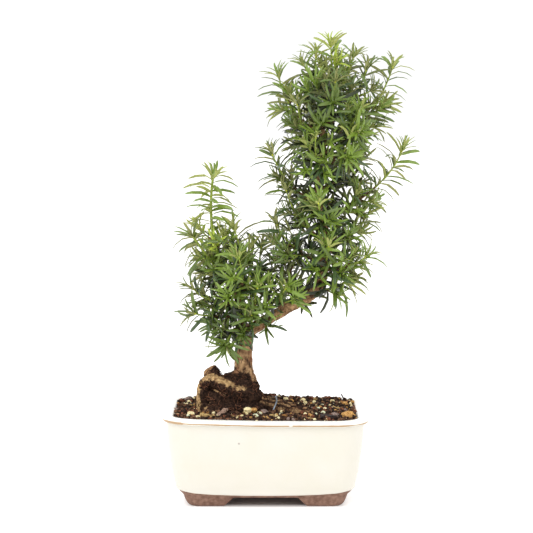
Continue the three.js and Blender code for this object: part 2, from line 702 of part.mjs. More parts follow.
// A spray: its stem, the side twigs that the seeded rule lets out of it, and the needles on them all.
function spray(index) {
  const stem = stems[index];
  const reach = SPRAYS[index][5];
  const random = seededBy(FIRST_SEED + SEED_STEP * index);
  const pieces = [twig(stem, STEM_RADIUS, STEM_RUNS, 0, sprayStems[index].facing)];
  const sideTwigs = [];
  const taken = runsOf(stem, 0);
  const count = Math.round(reach / TWIG_SPACING);
  for (let i = 0; i < count; i += 1) {
    const share = FIRST_TWIG + ((LAST_TWIG - FIRST_TWIG) * (i + 0.5)) / count;
    const foot = stem.getPoint(share);
    const long = Math.min(LONGEST_TWIG, reach * TWIG_SHARE) * (TWIG_LONGER - share * TWIG_SHORTENS);
    const lean = TWIG_LEAN + LEAN_SPREAD * random();
    const turn = random();
    for (let attempt = 0; attempt < ATTEMPTS; attempt += 1) {
      const step = i + attempt * NEXT_TWIG;
      const heading = leaning(stem.getTangent(share), lean, turn + step * GOLDEN_ANGLE);
      const curve = new THREE.LineCurve3(foot, foot.clone().addScaledVector(heading, long));
      const runs = runsOf(curve, CLEAR_FROM);
      if (!runs.every((run) => isClearOf(run, taken, TWIG_GAP))) continue;
      if (!KEPT_POINTS.every((at) => isFree(curve.getPoint(at), index))) continue;
      taken.push(...runs);
      sideTwigs.push(curve);
      pieces.push(twig(curve, TWIG_RADIUS, 1, TWIG_SUNK / long, heading));
      break;
    }
  }
  for (const curve of sideTwigs) {
    pieces.push(...needlesOn(curve, TWIG_BARE_SHARE, index, random, taken));
  }
  pieces.push(...needlesOn(stem, BARE_SHARE, index, random, taken));
  return geometryOf(join(pieces));
}

SPRAYS.forEach(([name], index) => {
  const fresh = stems[index].getPoint(1).z > NEW_GROWTH_LEVEL;
  place(name, spray(index), fresh ? NEW_NEEDLES : OLD_NEEDLES);
});

// The origin: under the middle of the plant's whole box
const box = new THREE.Box3().setFromObject(plant);
plant.position.set(-(box.min.x + box.max.x) / 2, -(box.min.y + box.max.y) / 2, 0);

export default plant;
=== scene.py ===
# A bonsai yew in a cream-glazed pot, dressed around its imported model. Lengths are in millimetres
# where a name or comment says so and are turned to metres by MM. +Z is up, and the pot's front faces -Y.
import math

import bmesh
import bpy
import numpy as np
from mathutils import Matrix, Vector, bvhtree, kdtree, noise


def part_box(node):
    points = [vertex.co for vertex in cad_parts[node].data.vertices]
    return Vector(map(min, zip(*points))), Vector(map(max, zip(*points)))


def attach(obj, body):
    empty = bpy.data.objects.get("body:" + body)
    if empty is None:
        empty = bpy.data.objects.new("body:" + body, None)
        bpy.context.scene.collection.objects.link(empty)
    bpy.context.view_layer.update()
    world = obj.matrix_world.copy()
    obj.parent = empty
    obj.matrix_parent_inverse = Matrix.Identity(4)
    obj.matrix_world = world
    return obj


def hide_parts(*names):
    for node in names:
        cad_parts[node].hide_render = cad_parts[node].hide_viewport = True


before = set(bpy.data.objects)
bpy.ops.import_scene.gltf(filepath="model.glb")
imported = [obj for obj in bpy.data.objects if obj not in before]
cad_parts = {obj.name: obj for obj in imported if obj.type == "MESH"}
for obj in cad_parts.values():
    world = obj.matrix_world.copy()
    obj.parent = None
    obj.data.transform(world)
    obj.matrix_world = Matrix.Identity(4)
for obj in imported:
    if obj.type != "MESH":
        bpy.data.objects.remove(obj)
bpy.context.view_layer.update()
bpy.ops.object.select_all(action="DESELECT")

# Camera. It stands a metre and a half in front of the pot, a little above the fork of the tree,
# and looks slightly down.
MM = 0.001
CAMERA_LENS = 121.1
CAMERA_BACK, CAMERA_HEIGHT, AIM_HEIGHT = 1.5, 0.330, 0.1949
CAMERA_RIGHT = 0.84 * MM
pot_low, pot_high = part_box("pot_body")
middle_x = (pot_low.x + pot_high.x) / 2
aim = Vector((middle_x + CAMERA_RIGHT, 0, AIM_HEIGHT))


def linked(name, data):
    """A new object in the scene, of a mesh, a curve, a lamp or a camera."""
    made = bpy.data.objects.new(name, data)
    bpy.context.collection.objects.link(made)
    return made


def stand(name, data, place):
    """Sets up a camera or a lamp at a place, turned to the tree."""
    standing = linked(name, data)
    standing.location = place
    standing.rotation_euler = (aim - standing.location).to_track_quat("-Z", "Y").to_euler()
    return standing


camera_data = bpy.data.cameras.new("camera")
camera_data.lens = CAMERA_LENS
camera_place = (middle_x + CAMERA_RIGHT, -CAMERA_BACK, CAMERA_HEIGHT)
bpy.context.scene.camera = stand("camera", camera_data, camera_place)
bpy.context.scene.view_settings.view_transform = "Standard"

# Studio. A white tabletop that fades into a white surround, one large soft light over the left
# shoulder and a weaker one from the right.
SURROUND_STRENGTH = 1.05
BOARD_SIZE = 30
TABLE_DROP = 0.05 * MM
# Half the length and depth of the painted shade under the pot, and where the board's painted glow begins and
# is full, out from the edge of that shade
SHADE_HALF_LENGTH, SHADE_HALF_DEPTH = 0.068, 0.048
GLOW_FROM, GLOW_TO, BOARD_GLOW = -0.012, 0.001, 0.5
# Name, place, width and power
LAMPS = (
    ("soft_light_left", (-1.1, -1.3, 1.7), 1.6, 26),
    ("soft_light_right", (1.5, -0.9, 1.2), 1.6, 10),
)


def linear(colour):
    """The linear value of an sRGB hex colour."""
    parts = [int(colour[k : k + 2], 16) / 255 for k in (1, 3, 5)]
    return tuple(p / 12.92 if p <= 0.04045 else ((p + 0.055) / 1.055) ** 2.4 for p in parts) + (1,)


def node(tree, kind, inputs=(), out=0, stops=(), **settings):
    """Adds a shader node and gives one of its outputs. inputs gives a socket its value, its hex colour
    or the output that feeds it, and stops the places and colours of a ramp."""
    made = tree.nodes.new(kind)
    for key, value in settings.items():
        setattr(made, key, value)
    for key, value in dict(inputs).items():
        if isinstance(value, bpy.types.NodeSocket):
            tree.links.new(value, made.inputs[key])
        else:
            made.inputs[key].default_value = linear(value) if isinstance(value, str) else value
    for k, (position, colour) in enumerate(stops):
        ramp = made.color_ramp.elements
        stop = ramp[k] if k < 2 else ramp.new(position)
        stop.position = position
        stop.color = linear(colour)
    return made.outputs[out]


def finish(name, colour, **sockets):
    """A material of one Principled shader, with its node tree and the shader."""
    material = bpy.data.materials.new(name)
    material.use_nodes = True
    shader = material.node_tree.nodes["Principled BSDF"]
    shader.inputs["Base Color"].default_value = linear(colour)
    for key, value in sockets.items():
        shader.inputs[key.replace("_", " ")].default_value = value
    return material, material.node_tree, shader


def feed(shader, **sockets):
    """Links the outputs that feed a shader to its sockets."""
    for key, output in sockets.items():
        shader.id_data.links.new(output, shader.inputs[key.replace("_", " ")])


world = bpy.data.worlds.new("white_surround")
world.use_nodes = True
surround = world.node_tree.nodes["Background"].inputs
surround["Color"].default_value = (1, 1, 1, 1)
surround["Strength"].default_value = SURROUND_STRENGTH
bpy.context.scene.world = world

bpy.ops.mesh.primitive_plane_add(size=BOARD_SIZE, location=(0, 0, -TABLE_DROP))
tabletop = bpy.context.object
tabletop.name = "tabletop"
# Matt white card. Its glow is painted light, as if lit from everywhere; it has none under the pot, a painted
# shade where no light gets in
white_board, tree, shader = finish(
    "white_board", "#e6e4e2", Roughness=1.0, Specular_IOR_Level=0.0, Emission_Color=(1, 1, 1, 1),
)
place = node(tree, "ShaderNodeTexCoord", out="Object")
from_pot = node(tree, "ShaderNodeVectorMath", {0: place, 1: (middle_x, 0, 0)}, operation="SUBTRACT")
off_middle = node(tree, "ShaderNodeVectorMath", {0: from_pot}, operation="ABSOLUTE")
shade = (SHADE_HALF_LENGTH, SHADE_HALF_DEPTH, 0)
off_shade = node(tree, "ShaderNodeVectorMath", {0: off_middle, 1: shade}, operation="SUBTRACT")
off_end = node(tree, "ShaderNodeSeparateXYZ", {0: off_shade})
outside = node(tree, "ShaderNodeMath", {0: off_end, 1: off_end.node.outputs["Y"]}, operation="MAXIMUM")
glow = node(tree, "ShaderNodeMapRange", {0: outside, 1: GLOW_FROM, 2: GLOW_TO, 3: 0.0, 4: BOARD_GLOW})
feed(shader, Emission_Strength=glow)
tabletop.data.materials.append(white_board)

for name, (x, y, z), width, power in LAMPS:
    lamp = bpy.data.lights.new(name, "AREA")
    lamp.size = width
    lamp.energy = power
    stand(name, lamp, (middle_x + x, y, z))

# Pot. A slip-cast stoneware trough with round corners and a rolled lip, dipped in a cream glaze that
# breaks to tan where it thins over the lower edge of the lip.
POT_LENGTH = 170 * MM
POT_DEPTH = 130 * MM
POT_CORNER = 27 * MM
POT_CORNER_STEPS = 12
LIP_EDGE = 70.9 * MM
LIP_BAND = 0.4 * MM
# Each row is a step inwards and the height it ends at, in millimetres
OUTSIDE_ROWS = (
    (0.05, 70.5), (0.35, 69.9), (1.2, 69.4), (1.4, 68.8), (0.3, 67), (0.5, 60), (0.9, 50), (1.6, 38),
    (1.3, 30), (1.3, 24), (1.5, 18.5), (1.5, 14.5), (0.7, 12.8), (0.6, 12.4), (2, 12.3),
)
INSIDE_ROWS = (
    (0.06, 72.2), (0.24, 72.9), (0.5, 73.5), (0.6, 73.85), (0.8, 74), (4.4, 74), (1, 73.85),
    (0.9, 73.4), (0.6, 72.6), (0.3, 70), (0.8, 60), (2.3, 45), (2.7, 30), (1.8, 22), (2.2, 18),
)
HAND_WOBBLE = 0.35 * MM
WOBBLE_LENGTH = 55 * MM
# Where the long sides are divided, so that they can follow a curve
LONG_SIDE_CUTS = (-44 * MM, -29 * MM, -15 * MM, 15 * MM, 29 * MM, 44 * MM)
# The rim rises to the left: how far, from how far left of the middle, and over what length. The wall
# rises with it, from RISE_FROM on and fully from RISE_HEIGHT higher up
RIM_RISE, RISE_START, RISE_LENGTH = 1.7 * MM, 0.005, 0.06
RISE_FROM, RISE_HEIGHT = 50 * MM, 20 * MM
# The glaze thins along the lip's lower edge, more widely at the pot's left end, and where it ends
# above the feet
THIN_LEVEL = LIP_EDGE - 0.1 * MM
EDGE_REACH, EDGE_THINNESS = 0.95 * MM, 1.25
LEFT_END, LEFT_END_REACH = 0.8, 1.8
OUTER_WALL = 9 * MM
BARE_LEVEL, BARE_THINNESS = 12.6 * MM, 0.75
# It ends higher round the pot's two ends than along its sides, and the bare band flares up to it
SWEEP_RISE, SWEEP_FLARE = 2.4 * MM, 1.4 * MM
SWEEP_FROM, SWEEP_LENGTH = 46 * MM, 26 * MM
SWEPT_LEVEL, SWEPT_HEIGHT = 17.4 * MM, 2.9 * MM
# Its edge sags towards the middle of the long sides, by this much, from this far out
EDGE_SAG, SAG_FROM, SAG_LEVEL = 1.9 * MM, 65 * MM, 14.2 * MM
LONG_SIDE = 14 * MM


def clamped(value):
    """A value held between 0 and 1."""
    return min(max(value, 0), 1)


def spot(x, y, z):
    """A place given in millimetres from the pot's middle, on the ground."""
    return middle_x + x * MM, y * MM, z * MM


def inset_rows(rows, height, way):
    """Works a selected flat face inwards, row by row. way is 1 for a face that points up."""
    for step, level in rows:
        bpy.ops.mesh.inset(thickness=step * MM, depth=way * (level * MM - height))
        height = level * MM


def select_flat(piece, highest):
    """Selects only the highest or the lowest many-cornered face of a piece in edit mode."""
    bpy.ops.mesh.select_all(action="DESELECT")
    edit = bmesh.from_edit_mesh(piece.data)
    caps = sorted((f for f in edit.faces if len(f.verts) > 8), key=lambda f: f.calc_center_median().z)
    caps[-1 if highest else 0].select_set(True)
    bmesh.update_edit_mesh(piece.data)


def pick(piece):
    """Makes a piece the active one and the only one selected."""
    bpy.ops.object.select_all(action="DESELECT")
    piece.select_set(True)
    bpy.context.view_layer.objects.active = piece


def settle(piece):
    """Leaves a piece's place in its mesh, with its object at the origin."""
    pick(piece)
    bpy.ops.object.transform_apply(location=True, rotation=True, scale=True)


def begun(add_primitive, **settings):
    """Adds a primitive with nothing else selected, and opens it in edit mode."""
    bpy.ops.object.select_all(action="DESELECT")
    add_primitive(**settings)
    bpy.ops.object.mode_set(mode="EDIT")
    return bpy.context.object


def slab(name, level, thickness, inset, corner, rows):
    """A flat block with round corners, set in from the pot's outline, and worked inwards underneath."""
    block = begun(bpy.ops.mesh.primitive_plane_add, size=1, location=(middle_x, 0, level))
    block.name = name
    bpy.ops.transform.resize(value=(POT_LENGTH - 2 * inset, POT_DEPTH - 2 * inset, 1))
    bpy.ops.mesh.bevel(offset=corner, segments=POT_CORNER_STEPS, affect="VERTICES")
    bpy.ops.mesh.extrude_region_move(TRANSFORM_OT_translate={"value": (0, 0, thickness)})
    select_flat(block, highest=False)
    inset_rows(rows, level, -1)
    return block


def modified(piece, kind, **settings):
    """Applies one modifier to the active piece."""
    step = piece.modifiers.new(kind.lower(), kind)
    for key, value in settings.items():
        setattr(step, key, value)
    bpy.ops.object.modifier_apply(modifier=step.name)


def rim_rise(x):
    """How far the rim has risen at a place along X."""
    return RIM_RISE * clamped((middle_x - x - RISE_START) / RISE_LENGTH)


def sweep_end(place, share):
    """Moves a place at the pot's foot up and outwards, the more the nearer it is to an end."""
    off_x = place.x - middle_x
    nearness = share * clamped((abs(off_x) - SWEEP_FROM) / SWEEP_LENGTH) ** 2
    place.z += SWEEP_RISE * nearness
    place.x += math.copysign(SWEEP_FLARE, off_x) * nearness


pot = slab("glazed_pot", LIP_EDGE, LIP_BAND, 0, POT_CORNER, OUTSIDE_ROWS)
select_flat(pot, highest=True)
inset_rows(INSIDE_ROWS, LIP_EDGE + LIP_BAND, 1)
bpy.ops.mesh.select_all(action="SELECT")
bpy.ops.mesh.subdivide(number_cuts=1)
for across in LONG_SIDE_CUTS:
    bpy.ops.mesh.select_all(action="SELECT")
    bpy.ops.mesh.bisect(plane_co=(middle_x + across, 0, 0), plane_no=(1, 0, 0))
bpy.ops.object.mode_set(mode="OBJECT")
settle(pot)
bpy.ops.object.shade_smooth_by_angle(angle=math.radians(50))
wobble = bpy.data.textures.new("hand_wobble", "CLOUDS")
wobble.noise_scale = WOBBLE_LENGTH
modified(pot, "DISPLACE", texture=wobble, texture_coords="LOCAL", strength=HAND_WOBBLE)

half_length, half_depth = POT_LENGTH / 2, POT_DEPTH / 2
for corner in pot.data.vertices:
    corner.co.z += rim_rise(corner.co.x) * clamped((corner.co.z - RISE_FROM) / RISE_HEIGHT)
thin_glaze = pot.data.attributes.new("thin_glaze", "FLOAT", "POINT")
for corner, value in zip(pot.data.vertices, thin_glaze.data):
    x, y, z = corner.co
    reach = EDGE_REACH * (LEFT_END_REACH if x - middle_x < -LEFT_END * half_length else 1)
    at_edge = max(EDGE_THINNESS - abs(z - (THIN_LEVEL + rim_rise(x))) / reach, 0)
    on_outside = max(abs(x - middle_x) - half_length, abs(y) - half_depth) > -OUTER_WALL
    value.value = max(min(at_edge, 1) * on_outside, BARE_THINNESS * (z < BARE_LEVEL))
for corner in pot.data.vertices:
    sweep_end(corner.co, clamped((SWEPT_LEVEL - corner.co.z) / SWEPT_HEIGHT))
    if abs(corner.co.y) > half_depth - LONG_SIDE:
        near_edge = clamped((SAG_LEVEL - corner.co.z) / MM)
        corner.co.z -= EDGE_SAG * near_edge * max(1 - ((corner.co.x - middle_x) / SAG_FROM) ** 2, 0)

# Glossy stoneware glaze: almost white cream, faintly mottled, with a few iron specks
cream_glaze, tree, shader = finish("cream_stoneware_glaze", "#fdfbee", Roughness=0.16, IOR=1.5)
place = node(tree, "ShaderNodeTexCoord", out="Object")
mottle = node(tree, "ShaderNodeTexNoise", {"Vector": place, "Scale": 1 / (26 * MM), "Detail": 3})
cream = node(tree, "ShaderNodeMix", {0: mottle, 6: "#d0cdc6", 7: "#cbc7b8"}, out=2, data_type="RGBA")
# The top of the lip is painted whiter than the wall, a painted highlight where the light from above falls on
# it
height = node(tree, "ShaderNodeSeparateXYZ", {0: place}, out="Z")
lip_top_highlight = node(tree, "ShaderNodeMapRange", {0: height, 1: 71 * MM, 2: 72.4 * MM})
cream = node(tree, "ShaderNodeMix", {0: lip_top_highlight, 6: cream, 7: "#faf8f1"}, out=2, data_type="RGBA")
# The tan line comes and goes: noise along the lip lets it fade out, and it has one short gap
LINE_GAP = Vector((middle_x + 20.6 * MM, -half_depth, LIP_EDGE))
breaks = node(tree, "ShaderNodeTexNoise", {"Vector": place, "Scale": 1 / (17 * MM), "Detail": 4})
thinness = node(tree, "ShaderNodeAttribute", out="Fac", attribute_name="thin_glaze")
uneven_line = node(tree, "ShaderNodeMath", {0: breaks, 1: 1.15}, operation="MULTIPLY")
line = node(tree, "ShaderNodeMath", {0: thinness, 1: uneven_line}, operation="SUBTRACT")
line = node(tree, "ShaderNodeMapRange", {0: line, 1: -0.05, 2: 0.3, 3: 0.0, 4: 0.9})
from_gap = node(tree, "ShaderNodeVectorMath", {0: place, 1: LINE_GAP}, out="Value", operation="DISTANCE")
beside_gap = node(tree, "ShaderNodeMapRange", {0: from_gap, 1: 0.9 * MM, 2: 2 * MM})
line = node(tree, "ShaderNodeMath", {0: line, 1: beside_gap}, operation="MULTIPLY")
tinted = node(tree, "ShaderNodeMix", {0: line, 6: cream, 7: "#9d7846"}, out=2, data_type="RGBA")
SPECK_RADIUS, SPECK_BLUR, SPECK_STRENGTH = 0.55 * MM, 2.4, 0.75
SPECKS = ((-21.6, -61.5, 55.6), (-63.5, -58.5, 66.5), (79, 20, 44), (12, 61, 39), (-81, -14, 52))
for speck in SPECKS:
    away = node(tree, "ShaderNodeVectorMath", {0: place, 1: spot(*speck)}, out="Value", operation="DISTANCE")
    edges = {1: SPECK_RADIUS, 2: SPECK_BLUR * SPECK_RADIUS, 3: SPECK_STRENGTH, 4: 0.0}
    dark = node(tree, "ShaderNodeMapRange", {0: away, **edges})
    tinted = node(tree, "ShaderNodeMix", {0: dark, 6: tinted, 7: "#5d4a42"}, out=2, data_type="RGBA")
ripple = node(tree, "ShaderNodeTexNoise", {"Vector": place, "Scale": 1 / (7 * MM), "Detail": 2})
bump = node(tree, "ShaderNodeBump", {"Height": ripple, "Distance": 0.25 * MM, "Strength": 0.35})
feed(shader, Base_Color=tinted, Normal=bump)
pot.data.materials.append(cream_glaze)
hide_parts("pot_body")
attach(pot, "root")

# Foot ring. The band and the four bracket feet are one with the pot, of the same brown stoneware
# left bare of glaze, cut away between the feet so that the pot drains.
FOOT_TOP = 8.2 * MM
BAND_TOP, BAND_THICKNESS = 12.3 * MM, 0.3 * MM
BAND_INSET = 13 * MM
BAND_CORNER = POT_CORNER - BAND_INSET * 0.75
FOOT_ROWS = ((2, 10.5), (2, 9), (0.5, 7.5), (1.1, 4.4), (1.4, 2), (1.3, 0.7), (1.3, 0))
FOOT_ARM = 13 * MM
FOOT_OUTSIDE, FOOT_OUTSIDE_DEPTH = 69.3 * MM, 49.3 * MM
FRONT_GAP, SIDE_GAP = 53 * MM, 46 * MM
FRONT_SPREAD, SIDE_SPREAD = 8 * MM, 4 * MM
WORN_EDGE = 0.9 * MM
BAND_SWEPT_LEVEL, BAND_SWEPT_HEIGHT = 8.4 * MM, 3.9 * MM


def select_corners(piece, chosen):
    """Selects only the corners that pass a test, of a piece in edit mode."""
    bpy.ops.mesh.select_all(action="DESELECT")
    edit = bmesh.from_edit_mesh(piece.data)
    for corner in edit.verts:
        if chosen(corner.co):
            corner.select_set(True)
    edit.select_flush(True)
    bmesh.update_edit_mesh(piece.data)


def gap_cutter(name, half_x, half_y, spread_x, spread_y):
    """A block that cuts a gap under the pot: its sides spread towards the ground."""
    block = begun(bpy.ops.mesh.primitive_cube_add, size=1, location=(middle_x, 0, 0))
    block.name = name
    bpy.ops.transform.resize(value=(2 * half_x, 2 * half_y, 2 * FOOT_TOP))
    select_corners(block, lambda place: place.z < 0)
    spread = ((half_x + 2 * spread_x) / half_x, (half_y + 2 * spread_y) / half_y, 1)
    bpy.ops.transform.resize(value=spread, center_override=(middle_x, 0, 0))
    bpy.ops.object.mode_set(mode="OBJECT")
    settle(block)
    return block


feet = slab("bare_clay_feet", BAND_TOP, BAND_THICKNESS, BAND_INSET, BAND_CORNER, FOOT_ROWS)
bpy.ops.object.mode_set(mode="OBJECT")
settle(feet)
cutters = [
    gap_cutter("gap_front_to_back", FRONT_GAP / 2, POT_DEPTH, FRONT_SPREAD, 0),
    gap_cutter("gap_side_to_side", POT_LENGTH, SIDE_GAP / 2, 0, SIDE_SPREAD),
    gap_cutter("hollow_underside", FOOT_OUTSIDE - FOOT_ARM, FOOT_OUTSIDE_DEPTH - FOOT_ARM, 0, 0),
]
pick(feet)
for cutter in cutters:
    modified(feet, "BOOLEAN", operation="DIFFERENCE", object=cutter)
    bpy.data.objects.remove(cutter)
modified(feet, "BEVEL", width=WORN_EDGE, segments=3, angle_limit=math.radians(33))
modified(feet, "TRIANGULATE")
for corner in feet.data.vertices:
    sweep_end(corner.co, clamped((corner.co.z - BAND_SWEPT_LEVEL) / BAND_SWEPT_HEIGHT))
settle(feet)
bpy.ops.object.shade_smooth_by_angle(angle=math.radians(24))

# Unglazed stoneware: matt red-brown clay, a little sandy, finely clouded with darker brown
bare_clay, tree, shader = finish("bare_brown_stoneware", "#7d5f56", Roughness=0.82, Specular_IOR_Level=0.2)
place = node(tree, "ShaderNodeTexCoord", out="Object")
clouds = node(tree, "ShaderNodeTexNoise", {"Vector": place, "Scale": 1 / (3.6 * MM), "Detail": 6})
clay = node(tree, "ShaderNodeValToRGB", {"Fac": clouds}, stops=((0.32, "#654a3e"), (0.68, "#8d6f60")))
grit = node(tree, "ShaderNodeTexNoise", {"Vector": place, "Scale": 1 / (0.9 * MM), "Detail": 3})
bump = node(tree, "ShaderNodeBump", {"Height": grit, "Distance": 0.2 * MM, "Strength": 0.6})
feed(shader, Base_Color=clay, Normal=bump)
feet.data.materials.append(bare_clay)
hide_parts("pot_base", "foot_front_left", "foot_front_right", "foot_back_left", "foot_back_right")
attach(feet, "root")

# Soil. A peat and bark mix that fills the pot to just under its lip and is heaped up behind the
# roots, loose and crumbly on top.
SOIL_INSET = 9.3 * MM
SOIL_TOP, SOIL_SKIN = 73 * MM, 0.4 * MM
SOIL_GRAIN = 1.5 * MM
SOIL_ROWS = ((0.5, 60), (5, 30), (4, 18))
# Its surface in millimetres: the level, how far it sinks along the walls, and the height of its lumps.
# The places and sizes that follow are in metres
SOIL_LEVEL, EDGE_SINK, LUMP_HEIGHT = 73.6, 0.9, 1.2
EDGE_X, EDGE_Y = 0.076, 0.056
# Two humps: height in millimetres, place and reach along X, and place and reach along Y
BACK_HUMP = (3.2, 0.012, 0.045, 0.030, 0.022)
FRONT_HUMP = (1.2, -0.010, 0.055, -0.012, 0.026)
# A bank along the back wall: its height, how much of that it loses to the right of BANK_X, over the
# same length again, and its place and reach along Y
BANK_HEIGHT, BANK_FALL, BANK_X, BANK_Y, BANK_REACH = 1.6, 1.5, 0.012, 0.048, 0.016
LUMP_SIZE = 0.010
CRUMB_HEIGHT, CRUMB_SIZE = 0.7 * MM, 2.6 * MM


def hump(x, y, height, at_x, reach_x, at_y, reach_y):
    """The height of a round hump at a place."""
    return height * math.exp(-((x - at_x) ** 2) / reach_x**2 - (y - at_y) ** 2 / reach_y**2)


def soil_height(x, y):
    """The height of the soil at a place, in metres from the middle of the pot."""
    bank = BANK_HEIGHT - BANK_FALL * clamped((x - BANK_X) / BANK_X)
    bank *= math.exp(-((y - BANK_Y) ** 2) / BANK_REACH**2)
    edge = max(abs(x) / EDGE_X, abs(y) / EDGE_Y) ** 10
    lumps = LUMP_HEIGHT * noise.fractal(Vector((x, y, 0.3)) / LUMP_SIZE, 0.9, 2.1, 3)
    heaped = SOIL_LEVEL + hump(x, y, *BACK_HUMP) + bank + hump(x, y, *FRONT_HUMP)
    return (heaped - EDGE_SINK * edge + lumps) * MM


soil = slab("potting_soil", SOIL_TOP, SOIL_SKIN, SOIL_INSET, POT_CORNER - SOIL_INSET, SOIL_ROWS)
bpy.ops.object.mode_set(mode="OBJECT")
settle(soil)
modified(soil, "REMESH", mode="VOXEL", voxel_size=SOIL_GRAIN)
for corner in soil.data.vertices:
    x, y, z = corner.co.x - middle_x, corner.co.y, corner.co.z
    if z > SOIL_TOP - SOIL_GRAIN:
        corner.co.z = soil_height(x, y) + CRUMB_HEIGHT * noise.noise(Vector((x, y, 0)) / CRUMB_SIZE)
bpy.ops.object.shade_smooth()

# Moist peat: dark brown, matt, with paler fibres and near-black hollows
moist_peat, tree, shader = finish("moist_peat", "#3f2d24", Roughness=0.95, Specular_IOR_Level=0.1)
clod_settings = {"Scale": 1 / (3.5 * MM), "Detail": 6, "Roughness": 0.65}
place = node(tree, "ShaderNodeTexCoord", out="Object")
clods = node(tree, "ShaderNodeTexNoise", {"Vector": place, **clod_settings})
peat = node(tree, "ShaderNodeValToRGB", {"Fac": clods}, stops=((0.36, "#1b100b"), (0.7, "#624838")))
bump = node(tree, "ShaderNodeBump", {"Height": clods, "Distance": 0.8 * MM, "Strength": 0.9})
feed(shader, Base_Color=peat, Normal=bump)
soil.data.materials.append(moist_peat)
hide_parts("soil")
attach(soil, "root")

# Crumbs, chips and stones. Lumps of peat, flakes of bark and small pale stones that lie loose on the
# soil, each kind modelled once and copied with its own turn and size.
CRUMBS, CRUMB_SEED, CRUMB_SPREAD = 1900, 11, (0.0755, 0.0555)
# The size of the smallest, and how much larger the largest are, in millimetres
CRUMB_LEAST, CRUMB_MORE = 1.4, 3.4
# Beyond both of these a place lies outside the pot's round corners
CORNER_X, CORNER_Y = 0.066, 0.045


def made_of(name, materials, points, faces, looks):
    """A piece of points and faces, each face with the number of its material."""
    mesh = bpy.data.meshes.new(name)
    mesh.from_pydata(points, [], faces)
    for material in materials:
        mesh.materials.append(material)
    mesh.polygons.foreach_set("material_index", looks)
    mesh.update()
    return linked(name, mesh)


def joined(name, faces, copies, looks, materials):
    """One piece of many copies of a shape. copies holds the corners of each, looks its material or
    those of all its faces."""
    corners = len(copies[0])
    rings = [[corner + corners * k for corner in face] for k in range(len(copies)) for face in faces]
    looks = np.array(looks, int).reshape(len(copies), -1)
    looks = np.repeat(looks, len(faces) // looks.shape[1], axis=1)
    points = np.array(copies, float).reshape(-1, 3).tolist()
    return made_of(name, materials, points, rings, looks.ravel())


def pattern_of(piece):
    """The corners and faces of a shape that is to be copied. The shape itself is taken away."""
    corners = np.array([corner.co[:] for corner in piece.data.vertices])
    faces = [list(face.vertices) for face in piece.data.polygons]
    bpy.data.objects.remove(piece)
    return corners, faces


def lump(flat, rough, seed):
    """A rough pebble one unit across, flattened along Z."""
    stone = begun(bpy.ops.mesh.primitive_ico_sphere_add, subdivisions=2, radius=0.5)
    bpy.ops.transform.vertex_random(offset=rough, seed=seed)
    bpy.ops.transform.resize(value=(1, 0.8, flat))
    bpy.ops.object.mode_set(mode="OBJECT")
    return pattern_of(stone)


def flake(rough, seed):
    """A split chip of bark one unit long, with torn ends."""
    chip = begun(bpy.ops.mesh.primitive_cube_add, size=1)
    bpy.ops.transform.resize(value=(1, 0.4, 0.15))
    bpy.ops.mesh.subdivide(number_cuts=3)
    bpy.ops.transform.vertex_random(offset=rough, seed=seed)
    bpy.ops.object.mode_set(mode="OBJECT")
    return pattern_of(chip)


def laid(corners, at, size, turn, sunk):
    """A shape's corners turned and laid on the soil at a place, sunk by a share of its size."""
    x, y = at[0], at[1]
    place = Matrix.Translation((middle_x + x, y, soil_height(x, y) + (0.25 - sunk) * size))
    matrix = np.array(place @ turn.to_matrix().to_4x4() @ Matrix.Scale(size, 4))
    return corners @ matrix[:3, :3].T + matrix[:3, 3]


def random_turn(random, tilt):
    """A turn about the upright by any angle, and a tilt of up to `tilt` radians."""
    from_upright = Vector((random.normal(), random.normal(), 0.01)).normalized()
    upright = Matrix.Rotation(random.uniform(0, 2 * math.pi), 3, "Z")
    return (Matrix.Rotation(random.uniform(0, tilt), 3, from_upright) @ upright).to_quaternion()


def grainy(name, dark, pale, grain, roughness):
    """A matt material that runs between two colours in grains of a size in millimetres, with a bump."""
    material, tree, shader = finish(name, pale, Roughness=roughness, Specular_IOR_Level=0.12)
    place = node(tree, "ShaderNodeTexCoord", out="Object")
    grains = node(tree, "ShaderNodeTexNoise", {"Vector": place, "Scale": 1 / (grain * MM), "Detail": 4})
    colours = node(tree, "ShaderNodeValToRGB", {"Fac": grains}, stops=((0.38, dark), (0.62, pale)))
    bump = node(tree, "ShaderNodeBump", {"Height": grains, "Distance": 0.3 * MM})
    feed(shader, Base_Color=colours, Normal=bump)
    return material


def in_the_pot(place):
    """Whether a place on the soil lies inside the rounded corners of the pot."""
    return not (abs(place[0]) > CORNER_X and abs(place[1]) > CORNER_Y)


# Crumbs of peat: near black where wet, mid brown where dry, and some of them bits of red-brown bark,
# in these shares
CRUMB_SHARES = (0.5, 0.33, 0.17)
crumb_finishes = [
    grainy("wet_peat_crumb", "#1a120e", "#3c2b22", 1.6, 0.8),
    grainy("dry_peat_crumb", "#3b2a20", "#7c5c46", 1.4, 0.95),
    grainy("red_bark_crumb", "#472a1f", "#84543e", 1.8, 0.9),
]
crumb_random = np.random.default_rng(CRUMB_SEED)
crumb_corners, crumb_faces = lump(flat=0.75, rough=0.12, seed=3)
copies, looks = [], []
for _ in range(CRUMBS):
    place = [crumb_random.uniform(-limit, limit) for limit in CRUMB_SPREAD]
    if in_the_pot(place):
        size = (CRUMB_LEAST + CRUMB_MORE * crumb_random.random() ** 2) * MM
        copies.append(laid(crumb_corners, place, size, random_turn(crumb_random, 3), sunk=0.05))
        looks.append(crumb_random.choice(3, p=CRUMB_SHARES))
crumb_heap = joined("peat_crumbs", crumb_faces, copies, looks, crumb_finishes)
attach(crumb_heap, "root")

